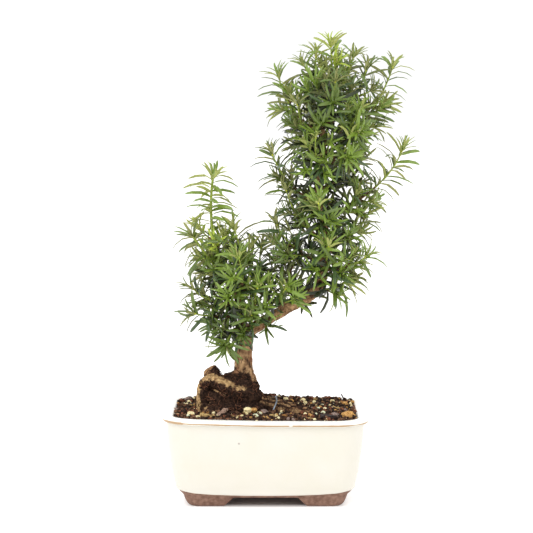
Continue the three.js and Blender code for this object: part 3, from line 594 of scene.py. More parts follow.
# The larger chips of bark: size in millimetres, place from the middle of the pot, turn and tilt in
# degrees, and finish
TAN, GREY, DARK, ORANGE = range(4)
CHIPS = (
    (11, -36, -29, 50, -24, GREY), (5, -40, 12, -40, 20, TAN), (12, -48, -39, 3, 8, TAN),
    (7, -61, 13, 40, 16, TAN), (6, -46, -27, -20, 12, ORANGE), (7, -24, -36, -24, 6, TAN),
    (5, -16, -28, -30, -16, ORANGE), (7, 7, -36, -28, 8, TAN), (7, 17, -37, 8, 10, ORANGE),
    (6, 36, -46, 12, 6, TAN), (14, 52, -45, -3, 4, DARK), (8, 61, 2, 6, 10, TAN),
    (8, 68, 22, 22, 30, ORANGE), (7, 73, 33, -35, 16, TAN),
    (9, 47, 17, -20, 9, DARK), (7, 30, 8, 30, 10, ORANGE), (9, -62, 24, 60, 8, DARK),
    (8, 18, 31, 15, 8, DARK), (9, 44, 38, 80, 9, TAN), (9, -30, 42, -35, 8, GREY),
)
# Bark chips: weathered tan, silver-grey with a red-brown cast, wet and near black, and fresh orange
chip_finishes = [
    grainy("tan_bark_chip", "#7c653c", "#d2b27a", 1.2, 0.85),
    grainy("grey_bark_chip", "#705648", "#ab8f7e", 1.2, 0.85),
    grainy("wet_bark_chip", "#231c1a", "#4a3f3c", 1.4, 0.6),
    grainy("orange_bark_chip", "#7a542f", "#b98851", 1.2, 0.85),
]
chip_corners, chip_faces = flake(rough=0.05, seed=5)
copies = []
for size, x, y, turn, tilt, _ in CHIPS:
    angle = Matrix.Rotation(math.radians(turn), 3, "Z") @ Matrix.Rotation(math.radians(tilt), 3, "Y")
    copies.append(laid(chip_corners, (x * MM, y * MM), size * MM, angle.to_quaternion(), sunk=0.16))
looks = [chip[-1] for chip in CHIPS]
bark_chips = joined("bark_chips", chip_faces, copies, looks, chip_finishes)
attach(bark_chips, "root")

# The small stones: how many, and how far they spread. More of them lie on the right half of the pot
STONES, STONE_SEED, STONE_SPREAD, STONE_DRIFT = 330, 29, (0.074, 0.054), 0.016
STONE_LEAST, STONE_MORE = 1.3, 2.6
# Stones: cream pumice, ochre grit, pale green zeolite, and a grey-brown lump of burnt clay
CREAM, OCHRE, GREEN, BROWN = range(4)
stone_finishes = [
    grainy("cream_pumice_stone", "#cdb980", "#fff3c6", 1.1, 0.8),
    grainy("ochre_stone", "#8f6433", "#d4a768", 1.1, 0.8),
    grainy("pale_green_stone", "#b3b68f", "#e9eccd", 1.3, 0.75),
    grainy("burnt_clay_stone", "#6a564e", "#a08d84", 0.9, 0.85),
]
# The larger stones: size in millimetres, place, the share of the size that it is sunk, and finish. Two
# lie on the foot of the root mass.
PLACED_STONES = (
    (7.6, -14.7, -28, -0.2, CREAM), (6.2, -9.6, -28, -0.25, OCHRE), (5.6, -8.2, -36, 0.12, GREEN),
    (8.2, -1.3, -25, 0.12, BROWN), (5.6, -56, -43, 0.12, CREAM), (6.4, -62, -28, 0.12, CREAM),
    (4.4, -70, 24, 0.12, CREAM), (4.2, -73, -24, 0.12, CREAM), (6.8, -67, 37, 0.05, BROWN),
    (5.6, -75, -5, 0.12, BROWN), (4.6, 13, -32, 0.12, GREEN), (4.4, 21, -44, 0.12, CREAM),
    (4.6, 11.6, 36, 0.1, CREAM), (5.0, 17.5, 26, 0.1, CREAM), (4.6, 22.4, 22, 0.1, OCHRE),
    (6.0, 32, 23, 0.1, CREAM), (4.0, 34, 17, 0.12, CREAM), (4.4, 28, 11, 0.1, CREAM),
    (3.8, 38.6, 7, 0.1, CREAM), (4.6, 42, 22, 0.1, CREAM), (4.2, 49, 30, 0.1, OCHRE),
    (4.6, 57.6, 30, 0.1, CREAM), (4.2, 48, 8, 0.12, GREEN), (4.6, 50.5, -6, 0.1, CREAM),
    (5.0, 47.6, -28, 0.1, GREEN), (4.2, 38, -35, 0.12, OCHRE), (4.0, 59, -12, 0.12, OCHRE),
    (13, 67.4, -34, 0.22, OCHRE), (12, 57, -35, 0.24, BROWN), (6.6, 67.7, 21, 0.1, OCHRE),
    (4.4, 75, 32, 0.1, OCHRE), (4.5, -76, 27, 0.1, OCHRE),
)
STONE_SHARES = (0.46, 0.34, 0.08, 0.12)
stone_random = np.random.default_rng(STONE_SEED)
stone_corners, stone_faces = lump(flat=0.7, rough=0.16, seed=8)
copies = []
for size, x, y, sunk, _ in PLACED_STONES:
    copies.append(laid(stone_corners, (x * MM, y * MM), size * MM, random_turn(stone_random, 0.5), sunk))
looks = [stone[-1] for stone in PLACED_STONES]
right_end, front_end = STONE_SPREAD
for _ in range(STONES):
    x = stone_random.uniform(-right_end, right_end) + STONE_DRIFT * stone_random.random()
    place = (min(x, right_end), stone_random.uniform(-front_end, front_end))
    if in_the_pot(place):
        size = (STONE_LEAST + STONE_MORE * stone_random.random() ** 1.6) * MM
        copies.append(laid(stone_corners, place, size, random_turn(stone_random, 1.5), sunk=0.05))
        looks.append(stone_random.choice(4, p=STONE_SHARES))
stones = joined("small_stones", stone_faces, copies, looks, stone_finishes)
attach(stones, "root")

# Trunk, roots and boughs. One piece of yew wood: a short stem that leans a little, a raised root with
# a sawn stub over a mass of peaty roots, and two boughs that leave the fork.
# Each row of a line is x, y and z from the pot's middle, and the radius, in millimetres
TRUNK_LINE = (
    (-15, 1, 64, 13), (-16, 0, 92, 10), (-18.4, 0, 108, 8.1), (-18, 0, 129, 7.3), (-16.4, 0, 138.6, 6.9),
)
RIGHT_LINE = (
    (-16.4, 0, 138.6, 5.4), (-3, 1, 147, 5.1), (8.8, 2, 154, 4.9), (24.8, 1, 163, 4.7),
    (35.8, 0, 168.7, 4.6), (44.1, 0, 176.7, 4.4), (48.3, 1, 187.7, 4.2), (49.5, 4, 208.8, 3.9),
    (49.5, 4, 229.8, 3.5), (44.5, 1, 253.3, 3.1), (46.4, -2, 292.6, 2.4), (49.6, -1, 325.9, 1.7),
    (52.8, 0, 338, 1.3),
)
# The bough's elbow, as a share of its length
BEND_SHARE = 0.305
LEFT_LINE = (
    (-16.4, 0, 138.6, 4.6), (-19, 0, 146, 4.3), (-21.5, 1, 162.4, 3.4), (-26.5, 1, 173.4, 2.6),
    (-33.2, 0, 181.8, 1.8),
)
RIGHT_ROOT_LINE = (
    (-10, -2, 80, 9), (8, -8, 76.5, 8), (23, -16, 74.5, 7), (38, -24, 72.5, 5.5), (50, -30, 69, 3.5),
)
RIDGE_ROOT_LINE = (
    (-12, -10, 88, 5), (-17, -15, 89.5, 4.8), (-26, -17, 91.6, 5), (-34, -15, 95, 4.9),
    (-41, -13, 98.2, 5), (-47, -11.5, 99.8, 5), (-51.3, -10.5, 96.5, 5.1), (-52.8, -10.5, 89, 5.3),
    (-52.4, -11, 78, 5.7), (-51.5, -12, 66, 6.2),
)
SAWN_STUB_LINE = (
    (-40, -6, 95, 7.2), (-44.5, -3.5, 102, 7.2), (-46.3, -2.5, 107.4, 6.4), (-47.3, -2, 109.4, 5),
)
# The root mass: middle x, y and z, and half length and half depth
ROOT_MASS = (
    (-26, -5, 68, 37, 23), (-27, -6, 76, 31, 18), (-28, -6, 86, 27, 14), (-27, -5, 95, 22, 10.5),
    (-25, -3, 97, 14, 9),
)
ROOT_MASS_HALF_HEIGHT = 9 * MM
CURVE_STEPS = 24
ALONG_STEP = 0.004
REACH, RISE, LEFT = "bough_reach", "bough_rise", "bough_left"


class Limb:
    """A stretch of the smooth curve through a line's rows. All that it gives is in metres."""

    def __init__(self, line, first=0.0, last=1.0):
        rows = np.array(line, float)
        rows = np.vstack([2 * rows[0] - rows[1], rows, 2 * rows[-1] - rows[-2]])
        samples = []
        for a, b, c, d in zip(rows, rows[1:], rows[2:], rows[3:]):
            for t in np.arange(CURVE_STEPS) / CURVE_STEPS:
                samples.append(
                    b + 0.5 * t * (c - a + t * (2 * a - 5 * b + 4 * c - d + t * (3 * (b - c) + d - a)))
                )
        samples.append(rows[-2])
        self.samples = np.array(samples) * MM
        self.samples[:, 0] += middle_x
        steps = np.linalg.norm(np.diff(self.samples[:, :3], axis=0), axis=1)
        self.lengths = np.concatenate([[0], np.cumsum(steps)])
        self.first, self.last = first, last

    def row(self, share):
        """The row at a share of the limb's length."""
        at = (self.first + (self.last - self.first) * share) * self.lengths[-1]
        return np.array([np.interp(at, self.lengths, column) for column in self.samples.T])

    def point(self, share):
        return Vector(self.row(share)[:3])

    def radius(self, share):
        return float(self.row(share)[3])

    def length(self):
        return (self.last - self.first) * self.lengths[-1]

    def along(self, share):
        near, far = max(share - ALONG_STEP, 0), min(share + ALONG_STEP, 1)
        return (self.point(far) - self.point(near)).normalized()


limbs = {
    REACH: Limb(RIGHT_LINE, 0, BEND_SHARE), RISE: Limb(RIGHT_LINE, BEND_SHARE, 1), LEFT: Limb(LEFT_LINE),
}
trunk = Limb(TRUNK_LINE)
right_root = Limb(RIGHT_ROOT_LINE)
ridge_root = Limb(RIDGE_ROOT_LINE)
sawn_stub = Limb(SAWN_STUB_LINE)


def limb_tube(name, limb, steps):
    """A limb as a tapering tube with closed ends, swept along its curve."""
    sweep = bpy.data.curves.new(name, "CURVE")
    sweep.dimensions = "3D"
    sweep.bevel_depth = 1
    sweep.bevel_resolution = 5
    sweep.use_fill_caps = True
    spline = sweep.splines.new("POLY")
    spline.points.add(steps)
    for step, point in enumerate(spline.points):
        x, y, z, radius = limb.row(step / steps)
        point.co = (x, y, z, 1)
        point.radius = radius
    pick(linked(name, sweep))
    bpy.ops.object.convert(target="MESH")
    return bpy.context.object


WOOD_GRAIN = 0.8 * MM
wood_parts = [
    limb_tube("trunk_tube", trunk, 30),
    limb_tube("reach_tube", limbs[REACH], 40),
    limb_tube("rise_tube", limbs[RISE], 60),
    limb_tube("left_tube", limbs[LEFT], 30),
    limb_tube("right_root_tube", right_root, 30),
    limb_tube("ridge_root_tube", ridge_root, 40),
    limb_tube("stub_tube", sawn_stub, 16),
]
for x, y, z, half_x, half_y in ROOT_MASS:
    bpy.ops.mesh.primitive_uv_sphere_add(segments=32, ring_count=16, location=spot(x, y, z))
    wood_parts.append(bpy.context.object)
    wood_parts[-1].scale = (half_x * MM, half_y * MM, ROOT_MASS_HALF_HEIGHT)
wood = wood_parts[0]
pick(wood)
for part in wood_parts:
    part.select_set(True)
bpy.ops.object.join()
wood.name = "yew_wood"
wood.data.name = "yew_wood"
settle(wood)
modified(wood, "REMESH", mode="VOXEL", voxel_size=WOOD_GRAIN)
modified(wood, "SMOOTH", iterations=4, factor=0.5)

# Every corner knows the limb it lies on, and so the way the grain runs
BARK, BARE, ROOT = range(3)
carriers = [
    (trunk, BARK), (limbs[REACH], BARK), (limbs[RISE], BARK), (limbs[LEFT], BARK),
    (right_root, ROOT), (ridge_root, BARE), (sawn_stub, BARE),
]
STUB = len(carriers) - 1
GRAIN_SAMPLES = 120
tree_points = kdtree.KDTree(len(carriers) * (GRAIN_SAMPLES + 1))
grain_rows = []
for limb, kind in carriers:
    for step in range(GRAIN_SAMPLES + 1):
        share = step / GRAIN_SAMPLES
        tree_points.insert(limb.point(share), len(grain_rows))
        grain_rows.append((limb.point(share), limb.along(share), limb.radius(share), kind))
tree_points.balance()


def grain_place(point, along, size, stretch):
    """A point for noise that is drawn out along the grain."""
    lengthwise = point.dot(along)
    return (point - along * lengthwise * (1 - 1 / stretch)) / size


# The peat's upper edge on the trunk, how far it wanders, and how much lower it lies on the right edge
# of the trunk, where strips of bark come down
PEAT_LINE, PEAT_WANDER, PEAT_PATCH, PEAT_FADE = 107.5 * MM, 4 * MM, 7 * MM, 2 * MM
PEAT_FALL, FALL_START, FALL_WIDTH = 11 * MM, 14 * MM, 4 * MM
# The raised root's bare streak narrows from this far left of the middle on, and ends here
CREST_REACH, BARE_END = 40 * MM, -16 * MM
# The right root and the sawn stub are weathered, so they are less pale than the bare streak
WEATHERED = 0.45
# A root's own wood shows only this near its middle line: so many radii, and a little more
WOOD_RADII, WOOD_MORE = 1.22, 0.6 * MM
# Pale streaks on the right root: their width, how far they are drawn out along the grain, the noise
# that they start at and over which they grow, and how far they clear the peat
STREAK_WIDTH, STREAK_STRETCH, STREAK_FROM, STREAK_BLUR, STREAK_CLEARS = 2.2 * MM, 6, 0.08, 0.12, 0.8
# The bare streak's edge: how large its waves are and how drawn out, where it lies, how far it wanders
# and how soft it is
EDGE_SIZE, EDGE_STRETCH, EDGE_AT, EDGE_WANDER, EDGE_BLUR = 2.4 * MM, 4, 0.3, 0.6, 0.15


def cover(point, normal, index, away):
    """How far peat cakes a place on the wood, and how far its bark is stripped, each from 0 to 1."""
    _, along, radius, kind = grain_rows[index]
    if kind == BARK:
        fall = PEAT_FALL * clamped((point.x - middle_x + FALL_START) / FALL_WIDTH)
        wander = PEAT_WANDER * noise.noise(point / PEAT_PATCH)
        return clamped((PEAT_LINE - fall + wander - point.z) / PEAT_FADE), 0.0
    if away >= radius * WOOD_RADII + WOOD_MORE:
        return 1.0, 0.0
    if kind == ROOT:
        streak = noise.noise(grain_place(point, along, STREAK_WIDTH, STREAK_STRETCH))
        peaty = 1 - STREAK_CLEARS * clamped((streak - STREAK_FROM) / STREAK_BLUR)
        return peaty, WEATHERED * (1 - peaty)
    # How far the place lies towards the trunk from the root's crest
    inwards = max(point.x - middle_x + CREST_REACH, 0) / CREST_REACH
    facing = normal.z + 0.35 * normal.y * min(inwards, 1) - 0.22 * inwards
    # The stub is bare on its top and left, and the root on its left where it falls to the soil
    on_stub = index // (GRAIN_SAMPLES + 1) == STUB
    if on_stub:
        facing = normal.z - 0.25 - 0.9 * normal.x
    elif abs(along.z) > 0.7:
        facing = -normal.x - 0.1
    edge = EDGE_AT + EDGE_WANDER * noise.noise(grain_place(point, along, EDGE_SIZE, EDGE_STRETCH))
    bare = clamped((facing - edge) / EDGE_BLUR) * (point.x - middle_x < BARE_END)
    return 1 - bare, bare * (WEATHERED if on_stub else 1)


# Size and stretch along the grain of the plates of bark and of the cracks, and how high plates stand
# and how deep cracks go, in millimetres. Cracks run where their noise is under CRACK_EDGE. Both are
# flatter on bare wood and on limbs slimmer than FULL_RADIUS
PLATE_SIZE, PLATE_STRETCH, CRACK_SIZE, CRACK_STRETCH = 2.6 * MM, 2.6, 1.9 * MM, 4
FLAKE_HEIGHT, CRACK_DEPTH, CRACK_EDGE, BARE_RELIEF, FULL_RADIUS = 0.9, 0.9, 0.3, 0.45, 5 * MM
CLOD_SIZE, CLOD_HEIGHT, CLOD_SHARE = 2.8 * MM, 2.2, 0.6


def relief(point, index, peaty, bare):
    """How far flakes of bark, the cracks between them and clods of peat stand off a place on the wood."""
    _, along, radius, _ = grain_rows[index]
    plates = noise.noise(grain_place(point, along, PLATE_SIZE, PLATE_STRETCH))
    beside = point + Vector((7, 3, 1)) * MM
    ridges = abs(noise.noise(grain_place(beside, along, CRACK_SIZE, CRACK_STRETCH)))
    flaking = FLAKE_HEIGHT * max(plates, -0.2) - CRACK_DEPTH * (CRACK_EDGE - min(ridges, CRACK_EDGE))
    clods = CLOD_HEIGHT * noise.fractal(point / CLOD_SIZE, 0.6, 2.2, 4)
    slim = min(radius / FULL_RADIUS, 1)
    flaking = (1 - peaty) * flaking * (BARE_RELIEF if bare > 0.5 else 1.0) * slim
    return (flaking + peaty * clods * CLOD_SHARE) * MM


caked, stripped, moved = [], [], []
for corner in wood.data.vertices:
    point = corner.co.copy()
    _, index, away = tree_points.find(point)
    peaty, bare = cover(point, corner.normal, index, away)
    caked.append(peaty)
    stripped.append(bare)
    moved.append(point + corner.normal * relief(point, index, peaty, bare))
for corner, point in zip(wood.data.vertices, moved):
    corner.co = point
for name, values in (("peat_caked", caked), ("bark_stripped", stripped)):
    wood.data.attributes.new(name, "FLOAT", "POINT").data.foreach_set("value", values)
bpy.ops.object.shade_smooth()

# Yew bark: thin tan-brown plates that flake to a redder layer, dark in the cracks. Peat cakes the
# foot, and the raised root is bare tan wood.
yew_bark, tree, shader = finish("flaking_yew_bark", "#8a6c50", Roughness=0.88, Specular_IOR_Level=0.12)
plate_settings = {"Scale": 1 / (4.5 * MM), "Detail": 6, "Roughness": 0.62}
bark_browns = ((0.3, "#4a3629"), (0.72, "#d6ae82"), (0.42, "#7e6045"), (0.55, "#a48460"))
place = node(tree, "ShaderNodeTexCoord", out="Object")
plates = node(tree, "ShaderNodeTexNoise", {"Vector": place, **plate_settings})
bark = node(tree, "ShaderNodeValToRGB", {"Fac": plates}, stops=bark_browns)
patches = node(tree, "ShaderNodeTexNoise", {"Vector": place, "Scale": 1 / (12 * MM), "Detail": 2})
redness = node(tree, "ShaderNodeMapRange", {0: patches, 1: 0.5, 2: 0.68, 3: 0.0, 4: 0.55})
reddened = node(tree, "ShaderNodeMix", {0: redness, 6: bark, 7: "#7e4a38"}, out=2, data_type="RGBA")
upright = node(tree, "ShaderNodeVectorMath", {0: place, 1: (1, 1, 0.4)}, operation="MULTIPLY")
cracks = node(tree, "ShaderNodeTexNoise", {"Vector": upright, "Scale": 1 / (2.4 * MM), "Detail": 4})
crack = node(tree, "ShaderNodeMapRange", {0: cracks, 1: 0.36, 2: 0.45, 3: 0.85, 4: 0.0})
cracked = node(tree, "ShaderNodeMix", {0: crack, 6: reddened, 7: "#2b1d16"}, out=2, data_type="RGBA")
fibres = node(tree, "ShaderNodeTexNoise", {"Vector": place, "Scale": 1 / (2 * MM), "Detail": 6})
bare_wood = node(tree, "ShaderNodeValToRGB", {"Fac": fibres}, stops=((0.3, "#6f4f33"), (0.7, "#cfae7c")))
cake = node(tree, "ShaderNodeValToRGB", {"Fac": fibres}, stops=((0.35, "#150d0a"), (0.72, "#493428")))
is_bare = node(tree, "ShaderNodeAttribute", out="Fac", attribute_name="bark_stripped")
is_caked = node(tree, "ShaderNodeAttribute", out="Fac", attribute_name="peat_caked")
woody = node(tree, "ShaderNodeMix", {0: is_bare, 6: cracked, 7: bare_wood}, out=2, data_type="RGBA")
coated = node(tree, "ShaderNodeMix", {0: is_caked, 6: woody, 7: cake}, out=2, data_type="RGBA")
bump = node(tree, "ShaderNodeBump", {"Height": plates, "Distance": 0.7 * MM, "Strength": 0.8})
feed(shader, Base_Color=coated, Normal=bump)
wood.data.materials.append(yew_bark)
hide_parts("trunk", "bough_reach", "bough_rise", "bough_left")
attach(wood, "root")

# Rootlets. Hair-thin dark roots that mat the peat round the foot of the tree, each laid along the
# surface from a place in the peat, a few with their ends lifted off it.
ROOTLETS, ROOTLET_POINTS, ROOTLET_SEED = 520, 8, 17
ROOTLET_STEP, ROOTLET_WANDER = 1.3 * MM, 0.35
ROOTLET_RADIUS, ROOTLET_TIP_RADIUS = 0.26 * MM, 0.14 * MM
LOOSE_SHARE, PALE_SHARE = 0.16, 0.3
LYING_LIFT, LOOSE_LIFT = 0.2 * MM, 3.5 * MM
# One dead twig sticks up out of the soil at the back, on the right
DEAD_TWIG = ((73.4, 33, 70), (70.4, 33.5, 74.5), (67.6, 34, 77.4), (65.3, 34.5, 81))
DEAD_RADIUS, DEAD_TIP_RADIUS = 0.8 * MM, 0.55 * MM
TUBE_SIDES = 6
# From where along a twig its second finish begins: at its foot, or nowhere
AT_FOOT, NOWHERE = 0.0, 2.0


def twig_tube(points, foot_radius, tip_radius, store, green_from, tip_look=1):
    """A tapering twig: rings of corners along its points, brown at its foot, green further on."""
    sides = np.arange(TUBE_SIDES) * 2 * math.pi / TUBE_SIDES
    rings = []
    for k, point in enumerate(points):
        along = Vector(points[min(k + 1, len(points) - 1)] - points[max(k - 1, 0)]).normalized()
        side = along.orthogonal().normalized()
        other = along.cross(side)
        radius = foot_radius + (tip_radius - foot_radius) * k / (len(points) - 1)
        for angle in sides:
            spoke = side * math.cos(angle) + other * math.sin(angle)
            rings.append(point + radius * np.array(spoke))
    first = len(store["points"])
    store["points"] += [list(corner) for corner in rings]
    for k in range(len(points) - 1):
        for s in range(TUBE_SIDES):
            a, b = first + k * TUBE_SIDES + s, first + k * TUBE_SIDES + (s + 1) % TUBE_SIDES
            store["faces"].append([a, b, b + TUBE_SIDES, a + TUBE_SIDES])
            store["looks"].append(tip_look if k / (len(points) - 1) >= green_from else 0)
    last = first + (len(points) - 1) * TUBE_SIDES
    store["faces"].append([last + s for s in range(TUBE_SIDES)])
    store["looks"].append(tip_look)
    store["faces"].append([first + s for s in reversed(range(TUBE_SIDES))])
    store["looks"].append(0)


surface = bvhtree.BVHTree.FromPolygons(
    [corner.co for corner in wood.data.vertices], [face.vertices for face in wood.data.polygons]
)
in_peat = [
    corner.co.copy()
    for corner, peaty in zip(wood.data.vertices, caked)
    if peaty > 0.7 and corner.co.z > SOIL_TOP
]
rootlet_random = np.random.default_rng(ROOTLET_SEED)
rootlet_mat = {"points": [], "faces": [], "looks": []}
for start in rootlet_random.choice(len(in_peat), ROOTLETS):
    point = in_peat[start]
    heading = Vector(rootlet_random.normal(size=3)) - Vector((0, 0, 0.4))
    loose = LOOSE_LIFT * (rootlet_random.random() < LOOSE_SHARE)
    route = []
    for step in range(ROOTLET_POINTS):
        nearest, normal, _, _ = surface.find_nearest(point)
        lift = LYING_LIFT + loose * (step / ROOTLET_POINTS) ** 3
        route.append(np.array(nearest + normal * lift))
        heading = (heading - normal * heading.dot(normal)).normalized()
        heading += Vector(rootlet_random.normal(size=3)) * ROOTLET_WANDER
        point = nearest + heading * ROOTLET_STEP
    pale_from = AT_FOOT if rootlet_random.random() < PALE_SHARE else NOWHERE
    twig_tube(route, ROOTLET_RADIUS, ROOTLET_TIP_RADIUS, rootlet_mat, pale_from)
dead_twig = [np.array(spot(*place)) for place in DEAD_TWIG]
twig_tube(dead_twig, DEAD_RADIUS, DEAD_TIP_RADIUS, rootlet_mat, NOWHERE)
# Dead fibrous roots, near black, and live ones, red-brown
root_finishes = [
    grainy("dark_fibrous_root", "#140b08", "#35231b", 1.5, 0.9),
    grainy("red_brown_root", "#4a2c20", "#7a543f", 1.5, 0.85),
]
root_hairs = made_of("root_hairs", root_finishes, **rootlet_mat)
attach(root_hairs, "root")

# Tie wire. A length of dull training wire bent over the right root and pushed into the soil on both
# sides of it, which holds the tree in its pot.
WIRE_LINE = (
    (4.6, -21.5, 70, 0.7), (7, -20, 77.5, 0.7), (9.2, -16.2, 82.9, 0.7), (8.6, -9, 85.8, 0.7),
    (8, -1.8, 82.9, 0.7), (8, 1.8, 77.9, 0.7), (8.5, 3.5, 70, 0.7),
)
WIRE_STEPS = 40
wire = limb_tube("tie_wire_bent", Limb(WIRE_LINE), WIRE_STEPS)
bpy.ops.object.shade_smooth()
# Oxidised aluminium wire: grey and only half bright, with duller patches where it was handled
dull_wire, tree, shader = finish("dull_aluminium_wire", "#9ea4ab", Metallic=1.0, Roughness=0.42)
place = node(tree, "ShaderNodeTexCoord", out="Object")
handled = node(tree, "ShaderNodeTexNoise", {"Vector": place, "Scale": 1 / (2.5 * MM), "Detail": 3})
oxide = node(tree, "ShaderNodeValToRGB", {"Fac": handled}, stops=((0, "#5a6068"), (1, "#a4adb8")))
dullness = node(tree, "ShaderNodeMapRange", {0: handled, 3: 0.62, 4: 0.3})
feed(shader, Base_Color=oxide, Roughness=dullness)
wire.data.materials.append(dull_wire)
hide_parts("tie_wire")
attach(wire, "root")

# Shoots and needles. Every spray grows from one stem on its bough: side twigs leave the stem and
# finer twigs leave those by the golden angle, and needles stand round them all, close at the tips.
# Name, limb, share of the limb, turn from +X, lift above level, reach in millimetres, tone, and the length
# of its longest side twig in millimetres. The tone is partly the shoots' own green, lime where fresh, and
# partly painted light: paler at the top, darker at the back and inside of the crown
SPRAYS = (
    ("spray_top", RISE, 1, 0, 88, 40, 4, 18),
    ("spray_top_left", RISE, 0.9, -125, 74, 49, 3, 22),
    ("spray_top_right", RISE, 0.93, 16, 60, 48, 3, 20),
    ("spray_top_back", RISE, 0.86, 75, 44, 51, 1, 26),
    ("spray_high_left", RISE, 0.8, -173, 52, 59, 3, 11),
    ("spray_high_right", RISE, 0.84, -10, 52, 58, 2, 22),
    ("spray_high_front", RISE, 0.83, -76, 45, 53, 2, 26),
    ("spray_far_right", RISE, 0.7, 5, 50, 93, 3, 16),
    ("spray_shoulder_left", RISE, 0.69, -134, 56, 50, 2, 8),
    ("spray_shoulder_right", RISE, 0.74, -51, 32, 55, 3, 26),
    ("spray_shoulder_back", RISE, 0.68, 101, 38, 51, 2, 16),
    ("spray_middle_front", RISE, 0.62, -57, 32, 52, 3, 20),
    ("spray_middle_left_front", RISE, 0.6, -97, 41, 46, 3, 16),
    ("spray_middle_left", RISE, 0.45, -169, 45, 56, 2, 7),
    ("spray_middle_back", RISE, 0.52, 46, 23, 58, 2, 20),
    ("spray_right_arm", RISE, 0.36, -3, 41, 86, 3, 14),
    ("spray_inner_left", RISE, 0.26, -156, 49, 54, 2, 6),
    ("spray_inner_front", RISE, 0.32, -99, 28, 46, 3, 16),
    ("spray_inner_back", RISE, 0.34, 100, 39, 48, 1, 14),
    ("spray_elbow_right", RISE, 0.24, 3, 34, 45, 3, 14),
    ("spray_elbow_left", RISE, 0.14, -159, 37, 53, 2, 22),
    ("spray_elbow_back", RISE, 0.16, 70, 28, 42, 1, 20),
    ("spray_low_right", RISE, 0.1, -26, 17, 39, 3, 12),
    ("spray_under_elbow", RISE, 0.0, -14, 18, 28, 3, 10),
    ("spray_reach_back", REACH, 0.72, 118, 51, 60, 2, 22),
    ("spray_reach_front", REACH, 0.5, -86, 34, 39, 3, 20),
    ("spray_reach_up", REACH, 0.4, 168, 78, 58, 2, 28),
    ("spray_reach_foot", REACH, 0.2, -94, 44, 48, 3, 22),
    ("spray_under_reach", REACH, 0.24, -75, -16, 9, 2, 3),
    ("spray_left_leader", LEFT, 1, 180, 83, 88, 4, 15),
    ("spray_left_inner", LEFT, 0.86, -70, 80, 50, 3, 15),
    ("spray_left_outer", LEFT, 0.82, -164, 53, 56, 3, 8),
    ("spray_left_back", LEFT, 0.74, 119, 44, 52, 2, 22),
    ("spray_left_front", LEFT, 0.62, -88, 47, 52, 3, 24),
    ("spray_left_low", LEFT, 0.56, -159, 17, 42, 2, 12),
    ("spray_left_foot", LEFT, 0.34, -153, 4, 43, 2, 14),
    ("spray_left_foot_back", LEFT, 0.3, 97, 30, 39, 1, 22),
    ("spray_left_foot_front", LEFT, 0.17, -109, -16, 40, 2, 14),
    ("spray_fork_front", LEFT, 0.08, -78, 24, 36, 2, 6),
    ("spray_elbow_front", RISE, 0.1, -84, 34, 38, 3, 20),
)
GOLDEN_ANGLE = math.pi * (3 - math.sqrt(5))
NEEDLE_LENGTH, NEEDLE_WIDTH, NEEDLE_THICKNESS = 25 * MM, 2.8 * MM, 0.8 * MM
NEEDLE_SPACING, DROOPING_SPACING = 1.8 * MM, 1.3 * MM
# How far needles lean off their twig, and those in the tuft at its tip, in radians. They lean more
# towards the twig's foot and where they droop, and less at its tip
NEEDLE_LEAN, TUFT_LEAN = 1.22, 0.65
FOOT_LEAN, DROOP_LEAN, TIP_UPRIGHT = 0.25, 0.25, 0.3
# How far chance spreads that lean and their turn, and how far they lift to the light, save where they
# droop or stand in a ring
NEEDLE_SPREAD, TUFT_SPREAD, TURN_SPREAD, NEEDLE_LIFT = 0.4, 0.8, 0.5, 0.12
TUFT_NEEDLES = 11
# The least length and width of a needle, and what chance adds, as shares of the full ones
LENGTH_LEAST, LENGTH_MORE, WIDTH_LEAST, WIDTH_MORE = 0.78, 0.24, 0.85, 0.3
# The same for the tuft's needles, and how much shorter the others are beside it
TUFT_LENGTH, TUFT_WIDTH, TIP_SHORTER = 0.72, 0.7, 0.12
# How far they bow, as a share of their length, and twist, in radians
BOW_LEAST, BOW_MORE, TWIST_SPREAD = 0.12, 0.24, 2.0
# Needles on a fresh shoot are this much broader and longer than on the others
FRESH_WIDTH, FRESH_LENGTH = 1.2, 1.08
# The needles over this last stretch of a twig are shorter, lean less and are often younger
TIP_STRETCH = 6 * MM
STEM_RADIUS, TWIG_RADIUS, TIP_RADIUS = 1.5 * MM, 0.95 * MM, 0.55 * MM
BUD_LENGTH, BUD_RADIUS, BUD_LOOK = 2.6 * MM, 1.0 * MM, 2
BEND_OUT, BEND_ALONG = 0.75, 0.3
END_BEND_OUT, END_BEND_ALONG = 0.3, 0.6
STEM_POINTS, TWIG_POINTS = 17, 6
SIDE_TWIG_SPACING, FINE_TWIG_SPACING, FINE_TWIG_REACH = 8 * MM, 16 * MM, 14 * MM
# A twig's reach: at most this share of the twig it leaves, times a factor that falls from the foot of
# that twig to its tip, and times one of chance
REACH_SHARE, FOOT_REACH, REACH_FALL, REACH_LEAST, REACH_MORE = 0.5, 1.2, 0.9, 0.8, 0.4
TWIG_LEAN, TWIG_LEAN_MORE = 0.7, 0.3
# How often a twig is turned on round its parent to find free space, before it is left out
TRIES = 4
SPACE_MARGIN, WOOD_MARGIN = 9 * MM, 0.3 * MM
LIMB_SAMPLES = 40
# The reaching bough is bare underneath, from this far below it, between these places along X
BARE_FROM, BARE_TO, BARE_BELOW, BARE_SLOPE = -10 * MM, 27 * MM, 2.2 * MM, 0.09
HANGING_SPRAYS = ("spray_under_reach", "spray_under_elbow", "spray_left_foot_front")


def park_miller(seed):
    """The seeded numbers, between 0 and 1, that the growth is drawn from."""
    state = seed
    while True:
        state = state * 16807 % 2147483647
        yield state / 2147483647


def curved(foot, bend, tip, count):
    """The points of a smooth curve from foot to tip that bends towards a third point."""
    shares = np.linspace(0, 1, count)[:, None]
    foot, bend, tip = (np.array(point) for point in (foot, bend, tip))
    return (1 - shares) ** 2 * foot + 2 * shares * (1 - shares) * bend + shares**2 * tip


